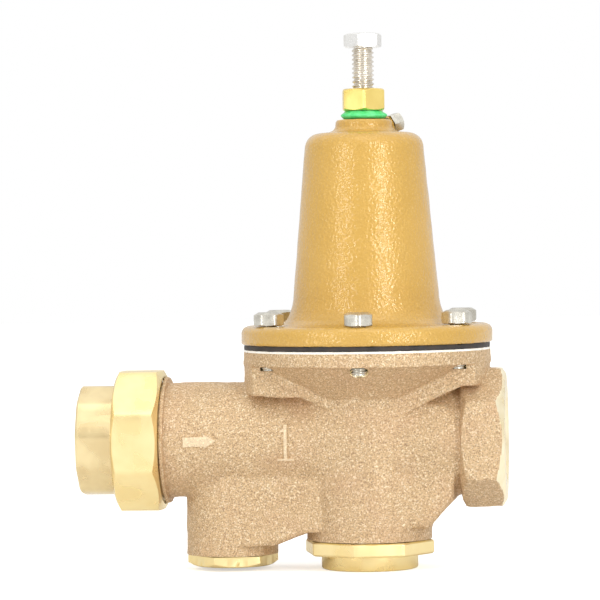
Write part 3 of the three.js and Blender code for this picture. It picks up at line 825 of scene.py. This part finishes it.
# The flange's machined rim, its edge painted as a white highlight line.
piece(
    "flange_land", "regulator_body",
    turned([
        (LAND_INNER + 0.1, LAND_BOTTOM), (FLANGE_RADIUS, LAND_BOTTOM), (FLANGE_RADIUS, LAND_TOP - 0.15),
        (FLANGE_RADIUS - 0.15, LAND_TOP), (LAND_INNER + 0.1, LAND_TOP),
    ], 192),
    [PAINTED_HIGHLIGHT],
)

# ---- Raised marks ----

ARROW_OUTLINE = [(-6.4, -1.9), (1.6, -1.9), (1.4, -3.0), (6.4, 0), (1.4, 3.0), (1.6, 1.9), (-6.4, 1.9)]
FIGURE_OUTLINE = [
    (-3.2, -7), (3.2, -7), (3.2, -6), (0.65, -6), (0.65, 7), (-0.6, 7), (-0.9, 5.6), (-2.2, 4.6),
    (-2.2, 3.8), (-0.65, 4.2), (-0.65, -6), (-3.2, -6),
]
MARK_PROUD = 0.8


def raised_mark(name, outline, x, z, lean):
    """A mark that stands proud of the casting's front."""
    cos, sin = math.cos(math.radians(lean)), math.sin(math.radians(lean))
    reach = 8.5

    def field(p):
        across, up = p[:, 0] - x, p[:, 2] - z
        flat = outline_distance(across * cos - up * sin, across * sin + up * cos, outline)
        skin = body_skin(p)
        slab = np.maximum(skin - MARK_PROUD, -0.7 - skin)
        return -blended(-np.maximum(flat, p[:, 1] + 10), -slab, 0.35)

    step = 0.3
    shape = contoured(field, (x - reach, -30, z - reach), (x + reach, -14, z + reach), step)
    piece(name, "regulator_body", shape, [RUBBED], sharp=50, weld=False)


raised_mark("flow_arrow", ARROW_OUTLINE, -62.8, FLOW_HEIGHT + 0.4, -2)
raised_mark("size_mark", FIGURE_OUTLINE, -29.9, FLOW_HEIGHT - 0.3, 0)

# ---- Threads of the body ----

piece(
    "inlet_thread", "regulator_body",
    along_flow(threaded(MALE_CREST, MALE_ROOT, PIPE_PITCH, THREAD_LEFT + 0.1, NUT_RIGHT + 0.8, 21.2)),
    [MACHINED],
)
piece(
    "outlet_thread", "regulator_body",
    along_flow(threaded(PIPE_CREST, PIPE_ROOT, PIPE_PITCH, SOCKET_LEFT + 0.2, SOCKET_RIGHT, PIPE_ROOT + 0.5)),
    [MACHINED],
)

# ---- The bell housing ----

VENT_TURN, VENT_RISE = math.radians(35), math.radians(17)
VENT_SEAT, VENT_HEAD = 12.2, 12.5  # how far along the vent the boss ends and the plug's head starts
VENT_MOUTH, VENT_REACH = 169.4, 13
VENT_START = np.array([0.0, 0.0, VENT_MOUTH - VENT_REACH * math.sin(VENT_RISE)])
VENT_AXIS = np.array([
    math.cos(VENT_RISE) * math.cos(VENT_TURN), math.cos(VENT_RISE) * math.sin(VENT_TURN), math.sin(VENT_RISE),
])
BELL_INSIDE = [
    (CHAMBER_RADIUS, 60), (CHAMBER_RADIUS - 0.6, 86.6), (31, 88.8), (27.4, 92.4), (25.4, 96.6),
    (24.6, 102.4), (19.8, 158), (17.6, 161.2), (14, 162),
]


def bell_profile():
    """The bell's outside, from the flange's rim up to the neck."""
    top, shoulder = 92.3, 165.9
    profile = [
        (BELL_RADIUS - 0.5, BELL_BOTTOM), (BELL_RADIUS, BELL_BOTTOM + 0.5), (BELL_RADIUS, top - 2.6),
        (BELL_RADIUS - 0.35, top - 1.5), (BELL_RADIUS - 1.1, top - 0.6), (BELL_RADIUS - 2.6, top),
        (35.6, top), (32.8, 92.9), (30.8, 94.5), (29.4, 97.0), (28.6, 99.5), (28.1, 102),
    ]
    centre, soft = 16.9, 6.0
    for i in range(9):
        angle = math.radians(i * 86 / 8)
        profile.append((centre + soft * math.cos(angle), shoulder - soft + soft * math.sin(angle)))
    profile += [(13.4, shoulder + 0.3), (11.7, shoulder + 1.1), (11.0, shoulder + 2.2)]
    return profile + [(10.8, NECK_TOP - 0.7), (10.2, NECK_TOP)]


def bell_field(p):
    """The bell with its vent boss, hollowed and drilled."""
    axis, z = around_z(p), p[:, 2]
    skin = turned_field(axis, z, bell_profile())
    along = (p - VENT_START) @ VENT_AXIS
    across = np.linalg.norm(p - VENT_START - along[:, None] * VENT_AXIS, axis=1)
    skin = blended(skin, rod(across, along, 3.3, 2, VENT_SEAT), 1.2)
    skin = skin + lumps(p, 9, 11) * 0.03 + lumps(p, 3.4, 12) * 0.01
    screw_hole = rod(axis, z, 4.5, 150, BEYOND)
    vent_hole = rod(across, along, 2.5, 0, 20)
    neck_face = rod(axis, z, 9.8, NECK_TOP, BEYOND)
    inside = turned_field(axis, z, BELL_INSIDE)
    cuts = lowest([inside, screw_hole, vent_hole, neck_face, bolt_holes(p), z - BELL_BOTTOM])
    return np.maximum(skin, -cuts)


def bell_piece():
    reach = BELL_RADIUS + 2
    step = 0.78
    shape = contoured(bell_field, (-reach, -reach, BELL_BOTTOM - 2), (reach, reach, NECK_TOP + 3), step)
    piece("bell", "regulator_body", shape, [PAINT], ["bell_housing"], sharp=45, weld=False)


def along_vent(shape):
    """Lays a shape made about Z along the vent, which leaves the neck to the right and back."""
    points, faces = shape
    side = np.cross(VENT_AXIS, (0, 0, -1))
    side /= np.linalg.norm(side)
    return points @ np.stack([np.cross(side, VENT_AXIS), side, VENT_AXIS]) + VENT_START, faces


bell_piece()
piece(
    "vent_hex", "regulator_body",
    along_vent(merged(
        nut_shape(3.3, 0.25, 0, VENT_HEAD, VENT_HEAD + 4.4, high_start=3.1),
        threaded(2.4, 2.1, 0.8, 9, VENT_HEAD + 0.4, columns=32),
    )),
    [SHADE_DARKENED_STEEL], ["vent_plug"], bevel=0.12,
)

# ---- Flange screws ----

BOLT_TURNS = [6, 41, 22, 50, 13, 33]  # degrees, as a wrench happened to leave each head
BOLT_SEAT = BELL_BOTTOM + 7.4
BOLT_HALF, BOLT_CREST, BOLT_ROOT, BOLT_PITCH = 5.25, 3.1, 2.6, 1.27
for number, (bolt_x, bolt_y) in enumerate(bolt_places()):
    screw = merged(
        nut_shape(BOLT_HALF, 2.2, BOLT_TURNS[number], BOLT_SEAT, BOLT_TOP, low_start=5.0, high_start=3.9),
        threaded(BOLT_CREST, BOLT_ROOT, BOLT_PITCH, bolt_end(bolt_x), BOLT_SEAT + 0.3, columns=40),
    )
    piece(
        f"flange_bolt_{number + 1}", "regulator_body", shifted(screw, bolt_x, bolt_y),
        [SHADE_DARKENED_STEEL], [f"flange_screw_{number + 1}"], bevel=0.45,
    )

# ---- The adjuster ----

HEAD_BOTTOM = 198.7
SHANK_CREST, SHANK_ROOT = 4.2, 3.5
adjuster = piece(
    "adjuster", "adjusting_screw",
    merged(
        nut_shape(6.65, 0.5, -8, HEAD_BOTTOM, SCREW_TOP, low_start=6.7, high_start=6.2),
        threaded(SHANK_CREST, SHANK_ROOT, SCREW_PITCH, SCREW_TIP + 1.3, HEAD_BOTTOM + 0.3, columns=64),
        turned([(2.6, SCREW_TIP), (SHANK_ROOT, SCREW_TIP + 1.0), (SHANK_ROOT, SCREW_TIP + 1.5)], 64, False),
    ),
    [STEEL, ROLLED], ["adjusting_screw"], bevel=0.15,
)
for facet in adjuster.data.polygons:
    facet.material_index = int(facet.center.z < (HEAD_BOTTOM - 0.1 + LIFT) * MM)


def washer_shape():
    """A soft ring that the nut has squeezed out into an uneven bulge."""
    angles = even_angles(128)
    bulge = 0.16 * np.sin(3 * angles + 0.4) + 0.08 * np.sin(7 * angles + 1.9)
    lift = 0.12 * np.sin(2 * angles + 1.1)
    rings = [(4.6, WASHER_BOTTOM), (7.6, WASHER_BOTTOM)]
    for radius, height in ((8.5, 0.6), (8.95, 1.1), (8.9, 1.5), (8.3, 2.0)):
        rings.append((radius + bulge, WASHER_BOTTOM + height + lift))
    rings += [(7.6, WASHER_TOP - 0.4), (7.3, WASHER_TOP + 0.1), (4.6, WASHER_TOP + 0.1)]
    return wound(rings, angles, closed=True)


piece("green_washer", "sealing_washer", washer_shape(), [GREEN], ["sealing_washer"], sharp=60)
piece(
    "adjuster_nut", "lock_nut",
    nut_shape(7.8, 0.5, 8, LOCK_BOTTOM, LOCK_TOP, bore=4.35, low_start=7.5, high_start=7.4),
    [YELLOW], ["lock_nut"], bevel=0.15,
)

# ---- The union ----


def union_nut_shape():
    """An octagonal nut with a lip on the left that pulls the tailpiece's collar along."""
    angles, side = polygon(8, 22.5, NUT_HALF, 3.2, 10)
    start = NUT_HALF - 1.2
    fall = np.maximum(side - start, 0) * TAN_30
    lip = NUT_LEFT + 3.2
    rings = [
        (np.minimum(side, start), NUT_LEFT), (side, NUT_LEFT + fall), (side, NUT_RIGHT - fall),
        (np.minimum(side, start), NUT_RIGHT), (24.9, NUT_RIGHT), (24.5, NUT_RIGHT - 0.4), (24.5, lip),
        (21.0, lip), (21.0, NUT_LEFT + 0.5), (21.5, NUT_LEFT),
    ]
    return wound(rings, angles, closed=True)


def tailpiece_shape():
    """The union's tailpiece: a collar inside the nut, and a neck with ten shallow wrench flats."""
    neck, collar, bore, socket = 20.7, COLLAR_RADIUS, 13.5, PIPE_ROOT + 0.1
    angles, flats = polygon(10, -9, neck, 0.5)
    flats = np.minimum(flats, 21.3)
    collar_left = NUT_LEFT + 3.5
    rings = [
        (socket + 1.2, TAIL_LEFT), (flats - 0.7, TAIL_LEFT), (flats, TAIL_LEFT + 0.7),
        (flats, NUT_LEFT - 0.3), (neck, NUT_LEFT - 0.1), (neck, collar_left), (collar - 0.3, collar_left),
        (collar, collar_left + 0.3), (collar, TAIL_RIGHT - 0.2), (collar - 0.2, TAIL_RIGHT),
        (bore + 0.3, TAIL_RIGHT), (bore, TAIL_RIGHT - 0.3), (bore, NUT_LEFT + 1), (socket, NUT_LEFT),
        (socket, TAIL_LEFT + 1.2),
    ]
    return wound(rings, angles, closed=True)


piece(
    "union_octagon", "union_nut",
    along_flow(merged(
        union_nut_shape(),
        threaded(23.65, 24.55, PIPE_PITCH, NUT_LEFT + 4.2, NUT_RIGHT - 0.6, 24.8),
    )),
    [BRASS], ["union_nut"], bevel=0.12,
)
piece(
    "union_tail", "union_tailpiece",
    along_flow(merged(
        tailpiece_shape(),
        threaded(PIPE_CREST, PIPE_ROOT, PIPE_PITCH, TAIL_LEFT + 1.3, NUT_LEFT - 0.2, PIPE_ROOT + 0.4),
    )),
    [TAIL_BRASS], ["union_tailpiece"], bevel=0.12,
)
piece(
    "union_washer", "union_tailpiece",
    along_flow(ring_shape(16, 22, GASKET_LEFT, GASKET_RIGHT)), [FIBRE], ["union_gasket"],
)

# ---- The bottom plug and the strainer ----


def plug_shape():
    """An octagonal head with a round boss below it and a hollow shank above."""
    angles, side = polygon(8, -9, 23.5, 0.8)
    boss, shank, hollow, low, high = 18.6, 16.9, 11.6, 4.2, 9.6
    rings = [
        (boss - 0.9, PLUG_BOTTOM), (boss - 0.3, PLUG_BOTTOM + 0.2), (boss, PLUG_BOTTOM + 0.8),
        (boss, low - 0.2), (boss + 0.5, low), (side - 0.8, low), (side, low + 0.7), (side, high - 0.6),
        (side - 0.6, high), (20.9, high), (shank, high), (shank, PLUG_TOP - 0.6),
        (shank - 0.6, PLUG_TOP), (hollow + 0.6, PLUG_TOP), (hollow, PLUG_TOP - 0.6), (hollow, 11),
    ]
    return wound(rings, angles)


def cap_shape():
    """A hexagonal head with a hollow shank above it."""
    angles, side = polygon(6, -17.4, 15.25, 0.7)
    shank, hollow, start, head_top = 13.2, 10.2, 15.6, 4.2
    rings = [
        (np.minimum(side, start - 0.6) - 0.4, 0), (np.minimum(side, start), 0.35),
        (side, 0.5 + np.maximum(side - start, 0) * 0.5), (side, head_top), (shank, head_top),
        (shank, CAP_TOP - 0.6), (shank - 0.6, CAP_TOP), (hollow + 0.6, CAP_TOP), (hollow, CAP_TOP - 0.6),
        (hollow, 8),
    ]
    return wound(rings, angles)


piece("plug", "regulator_body", plug_shape(), [BRASS], ["bottom_plug"], bevel=0.15)
piece(
    "plug_ring", "regulator_body",
    ring_shape(17.4, 20.8, BARREL_BOTTOM, 11.4, soft=0.5), [RUBBER], ["bottom_plug_seal"],
)
piece(
    "leg_cap", "regulator_body", shifted(cap_shape(), LEG_X), [BRASS], ["strainer_cap"],
    bevel=0.15,
)
piece(
    "leg_cap_washer", "regulator_body",
    shifted(ring_shape(13.5, 15.3, 4.5, 5.9), LEG_X), [FIBRE], ["strainer_cap_gasket"],
)


def screen_shape(columns, rows=15, wall=0.27):
    """A perforated tube with a solid floor. A wall is that share of a cell."""
    inner, outer = 11.5, 12.2
    low, high = SCREEN_BOTTOM + 1.2, SCREEN_TOP - 0.8
    points, faces = [], []
    floor = turned([
        (inner, SCREEN_BOTTOM + 0.9), (inner, low), (outer, low), (outer, SCREEN_BOTTOM),
        (1, SCREEN_BOTTOM), (1, SCREEN_BOTTOM + 0.9),
    ], columns)
    rim = ring_shape(inner, outer, high, SCREEN_TOP, soft=0.1, count=columns)
    for row in range(rows):
        for column in range(columns):
            start = len(points)
            for radius in (inner, outer):
                for share in (0.0, wall):
                    for a, b in ((0, 0), (1, 0), (1, 1), (0, 1)):
                        angle = (column + (share if a == 0 else 1 - share)) * (TURN / columns)
                        up = row + (share if b == 0 else 1 - share)
                        height = low + up * ((high - low) / rows)
                        points.append((radius * math.cos(angle), radius * math.sin(angle), height))
            for k in range(4):
                n = (k + 1) % 4
                faces.append((start + k, start + n, start + 4 + n, start + 4 + k))
                faces.append((start + 8 + n, start + 8 + k, start + 12 + k, start + 12 + n))
                faces.append((start + 4 + k, start + 4 + n, start + 12 + n, start + 12 + k))
    return merged(floor, rim, (np.array(points), faces))


piece(
    "leg_screen", "regulator_body", shifted(screen_shape(48), LEG_X),
    [STEEL], ["strainer_screen"],
)

# ---- Spring, plate and button ----


def plate_shape():
    """A dished plate with a rib that centres the spring."""
    rim, low, high = PLATE_RADIUS, PLATE_BOTTOM, PLATE_TOP
    return turned([
        (4.8, low), (rim - 1.4, low), (rim - 0.4, low + 0.4), (rim, low + 1.2), (rim, high - 0.3),
        (rim - 0.3, high), (12.8, high), (12.4, high + 1.2), (11.4, high + 1.5), (10.6, high + 1.2),
        (10.4, high), (4.8, high),
    ])


def button_shape():
    """A dished button with a seat for the screw's tip."""
    rim, low, high = BUTTON_RADIUS, BUTTON_BOTTOM, BUTTON_TOP
    rings = [
        (11.0, low), (rim - 0.8, low), (rim - 0.2, low + 0.3), (rim, low + 0.9), (rim, low + 2.0),
        (rim - 0.5, low + 2.6), (14, low + 4.2), (9, high - 0.5), (8, high), (5.6, high),
        (5.1, high - 0.5), (5.0, high - 1.6),
    ]
    return turned(rings, closed=False)


SPRING_WIRE, SPRING_RADIUS, SPRING_TURNS = 2.1, 15.4, 7.5
SPRING_LOW, SPRING_HIGH = PLATE_TOP + 0.05, BUTTON_BOTTOM - 0.05
SPRING_GROUND = 1.2  # how much of the wire is ground off at each end
SPRING_CLOSED = 2 * SPRING_WIRE + 0.12  # the rise of an end turn


def spring_height(travel):
    """The wire's middle after so many turns. The end turns close up, and their ends are ground flat."""
    low = SPRING_LOW + SPRING_WIRE - SPRING_GROUND
    high = SPRING_HIGH - SPRING_WIRE + SPRING_GROUND
    heights = [low, low + SPRING_CLOSED, high - SPRING_CLOSED, high]
    return np.interp(travel, [0, 1, SPRING_TURNS - 1, SPRING_TURNS], heights)


def spring_shape(first, last, around=12):
    """The part of the spring between two counts of turns."""
    steps = int((last - first) * (44))
    section = even_angles(around)
    points, faces = [], []
    for travel in np.linspace(first, last, steps + 1):
        out = SPRING_RADIUS + SPRING_WIRE * np.cos(section)
        up = np.clip(spring_height(travel) + SPRING_WIRE * np.sin(section), SPRING_LOW, SPRING_HIGH)
        points.append(np.stack([out * math.cos(travel * TURN), out * math.sin(travel * TURN), up], 1))
    for i in range(steps):
        for j in range(around):
            k = (j + 1) % around
            faces.append((i * around + j, (i + 1) * around + j, (i + 1) * around + k, i * around + k))
    faces.append(tuple(range(around)))
    faces.append(tuple(steps * around + j for j in range(around))[::-1])
    return np.concatenate(points), faces


def spring_part(name, first, last):
    """Part of the spring between two counts of turns, on no body, with its place baked into its points."""
    shape = spring_shape(first, last)
    coil = piece(name, None, shape, [SPRING], ["adjusting_spring"], sharp=50)
    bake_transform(coil)


piece("rolled_plate", "valve_stem", plate_shape(), [SPRING], ["pressure_plate"], bevel=0.1)
piece("stamped_button", "spring_button", button_shape(), [SPRING], ["spring_button"])
SPRING_SPLIT = 2.6
spring_part("spring_lower", 0, SPRING_SPLIT)
spring_part("spring_upper", SPRING_SPLIT, SPRING_TURNS)

# ---- The valve's stem, disc and seat ----


def stem_shape():
    """The stem: a flange that carries the disc holder, a collar under the diaphragm, a threaded end."""
    shaft, collar, flange, low = 4.5, 6.9, 6, STEM_BOTTOM
    rings = [
        (2.8, 41), (2.8, low + 0.4), (3.2, low), (flange - 0.3, low), (flange, low + 0.3),
        (flange, low + 1.5), (flange - 0.3, low + 1.8), (shaft, low + 2.0), (shaft, 76),
        (collar - 0.3, 76), (collar, 76.3), (collar, 79.8), (collar - 0.3, 80.1), (shaft, 80.1),
        (shaft, 87.8), (4.0, 88.0), (4.0, STEM_TOP - 0.5), (3.5, STEM_TOP),
    ]
    thread = threaded(4.45, 3.95, 1.2, 88.2, STEM_TOP - 0.7, 3.6, columns=48)
    return merged(turned(rings, 64, closed=False), thread)


def holder_shape():
    """A cup that holds the disc."""
    low, floor, high = 24, 26.4, 29.6
    return turned([
        (3, low), (10.1, low), (10.6, low + 0.2), (10.8, low + 0.7), (10.8, high - 0.3), (10.6, high),
        (10.0, high), (9.8, high - 0.3), (9.8, floor), (3, floor),
    ], 72)


def seat_shape():
    """A ring with a flange above and a rounded throat."""
    throat, shank, flange, low, high = 7.5, 10.7, 12.8, SEAT_BOTTOM, SEAT_TOP
    return turned([
        (throat, low), (throat + 1.6, low), (shank, low + 1.6), (shank, high - 1.7),
        (flange - 0.3, high - 1.7), (flange, high - 1.4), (flange, high - 0.3), (flange - 0.3, high),
        (throat + 1.4, high), (throat + 0.4, high - 0.3), (throat, high - 1),
    ], 72)


piece("valve_shaft", "valve_stem", stem_shape(), [STEEL], ["stem"])
piece("shaft_ring", "regulator_body", ring_cord(5.7, 0.85, 69.5), [RUBBER], ["stem_seal"])
piece("holder", "valve_stem", holder_shape(), [BRASS], ["disc_holder"])
piece(
    "disc", "valve_stem", ring_shape(2.8, 9.5, 26.7, 30.4, soft=0.3, count=72), [RUBBER],
    ["seat_disc"],
)
piece(
    "holder_screw", "valve_stem",
    merged(
        nut_shape(4.0, 0.3, 0, DISC_SCREW_BOTTOM, 23.7, low_start=3.8),
        threaded(2.5, 2.15, 0.8, 23.5, DISC_SCREW_TOP, columns=32),
    ),
    [STEEL], ["disc_screw"], bevel=0.1,
)
piece("seat", "regulator_body", seat_shape(), [STEEL], ["seat_ring"])
piece(
    "clamp_washer", "valve_stem", ring_shape(4.8, 24, 80.4, FLANGE_TOP), [BRASS],
    ["diaphragm_washer"],
)
piece(
    "plate_nut", "valve_stem",
    nut_shape(7, 0.4, 15, STEM_NUT_BOTTOM, STEM_NUT_TOP, bore=4.6, high_start=6.6), [BRASS],
    ["stem_nut"], bevel=0.12,
)

# ---- The diaphragm ----

ROLL_INNER, ROLL_OUTER = PLATE_RADIUS + 1, CHAMBER_RADIUS - 2.2
BAND_LOW, BAND_HIGH = LAND_TOP + 0.05, BELL_BOTTOM - 0.05


def roll(height):
    """The loop of the rubber between the plate and the clamped rim."""
    middle, half = (ROLL_INNER + ROLL_OUTER) / 2, (ROLL_OUTER - ROLL_INNER) / 2
    angles = [TURN / 2 * i / 8 for i in range(9)]
    return [(middle - half * math.cos(angle), height + 3 * math.sin(angle)) for angle in angles]


def clamped_rim_field(p):
    """The clamped rim and the roll, with the screws' holes. The rim bulges a little, unevenly."""
    outside, clamp = FLANGE_RADIUS - 0.25, ROLL_OUTER + 2
    outline = [
        (clamp, BAND_LOW), (outside, BAND_LOW), (outside + 0.1, (BAND_LOW + BAND_HIGH) / 2),
        (outside, BAND_HIGH), (clamp, BAND_HIGH),
    ]
    outline += roll(BAND_HIGH - 0.25)[::-1] + roll(BAND_LOW + 0.25)
    skin = outline_distance(around_z(p), p[:, 2], outline) + lumps(p, 7, 21) * 0.1
    return np.maximum(skin, -bolt_holes(p))


def rim_piece():
    reach = FLANGE_RADIUS + 2
    step = 0.62
    shape = contoured(clamped_rim_field, (-reach, -reach, 80), (reach, reach, 91), step)
    piece("diaphragm_rim", "regulator_body", shape, [RUBBER], ["diaphragm"], sharp=50,
          weld=False)


rim_piece()
piece(
    "diaphragm_centre", "valve_stem",
    ring_shape(4.8, ROLL_INNER - 0.3, FLANGE_TOP + 0.2, BELL_BOTTOM - 0.2, soft=0.3, count=128), [RUBBER],
    ["diaphragm"],
)

# ---- Scene: floor, light and camera ----


def plain_floor():
    """A pale floor with a little glow of its own to the camera, which hides its edge."""
    reach, pale, glow = 4.0, 0.86, 0.5
    corners = [(-reach, -reach, 0), (reach, -reach, 0), (reach, reach, 0), (-reach, reach, 0)]
    mesh = bpy.data.meshes.new("floor")
    mesh.from_pydata(corners, [], [(0, 1, 2, 3)])
    material = bpy.data.materials.new("floor_white")
    material.use_nodes = True
    tree = material.node_tree
    camera_ray = new_node(tree, "LightPath").outputs["Is Camera Ray"]
    fill(tree.nodes["Principled BSDF"], Base_Color=(pale, pale, pale, 1), Roughness=0.9,
         Emission_Color=(1, 1, 1, 1), Emission_Strength=product(tree, camera_ray, glow))
    mesh.materials.append(material)
    floor = bpy.data.objects.new("floor", mesh)
    floor.location.z = (PLUG_BOTTOM + LIFT) * MM
    bpy.context.scene.collection.objects.link(floor)


def studio_world():
    """White to the camera. To the object it is brightest above and a little greyer in front."""
    world = bpy.data.worlds.new("studio")
    world.use_nodes = True
    tree = world.node_tree
    tree.nodes.clear()
    direction = new_node(tree, "SeparateXYZ", Vector=new_node(tree, "TexCoord").outputs["Generated"])
    front = eased(tree, direction.outputs["Y"], -0.95, -0.1, 0.95, 1.0)
    above = eased(tree, direction.outputs["Z"], 0.0, 0.9, 0.95, 1.35)
    lighting = new_node(tree, "Background", Strength=product(tree, front, above))
    seen = new_node(tree, "Background", Color=(1, 1, 1, 1))
    mix = new_node(tree, "MixShader", Fac=new_node(tree, "LightPath").outputs["Is Camera Ray"])
    put(lighting.outputs["Background"], mix.inputs[1])
    put(seen.outputs["Background"], mix.inputs[2])
    new_node(tree, "OutputWorld", Surface=mix.outputs["Shader"])
    bpy.context.scene.world = world


def softbox(name, place, target, size, power):
    """A rectangular lamp that faces its target."""
    light = bpy.data.lights.new(name, "AREA")
    light.shape = "RECTANGLE"
    light.size, light.size_y = size
    light.energy = power
    lamp = bpy.data.objects.new(name, light)
    lamp.location = place
    lamp.rotation_euler = (Vector(target) - Vector(place)).to_track_quat("-Z", "Y").to_euler()
    bpy.context.scene.collection.objects.link(lamp)


def camera():
    """The photograph's angle: nearly level, a few degrees round to the outlet's side."""
    turn, rise, lean = math.radians(5.5), math.radians(1.0), math.radians(0.85)
    distance, field = 1.3, math.radians(10.15)
    target_height, target_left = 0.1035, 0.0255
    right = Vector((math.cos(turn), math.sin(turn), 0))
    target = Vector((0, 0, target_height)) - right * target_left
    back = Vector((math.sin(turn) * math.cos(rise), -math.cos(turn) * math.cos(rise), math.sin(rise)))
    data = bpy.data.cameras.new("camera")
    data.sensor_width = 36
    data.angle = field
    thing = bpy.data.objects.new("camera", data)
    facing = (-back).to_track_quat("-Z", "Y").to_matrix().to_4x4()
    place = Matrix.Translation(target + back * distance)
    thing.matrix_world = place @ facing @ Matrix.Rotation(-lean, 4, "Z")
    bpy.context.scene.collection.objects.link(thing)
    bpy.context.scene.camera = thing


plain_floor()
studio_world()
softbox("right_strip", (0.70, -0.98, 0.38), (0, 0, 0.13), (0.13, 0.95), 5.2)
softbox("left_strip", (-0.68, -0.99, 0.38), (0, 0, 0.12), (0.12, 0.9), 2.8)
softbox("top", (0.1, -0.55, 1.4), (0, 0, 0.1), (0.9, 0.9), 2.8)
camera()
bpy.context.scene.view_settings.view_transform = "Standard"
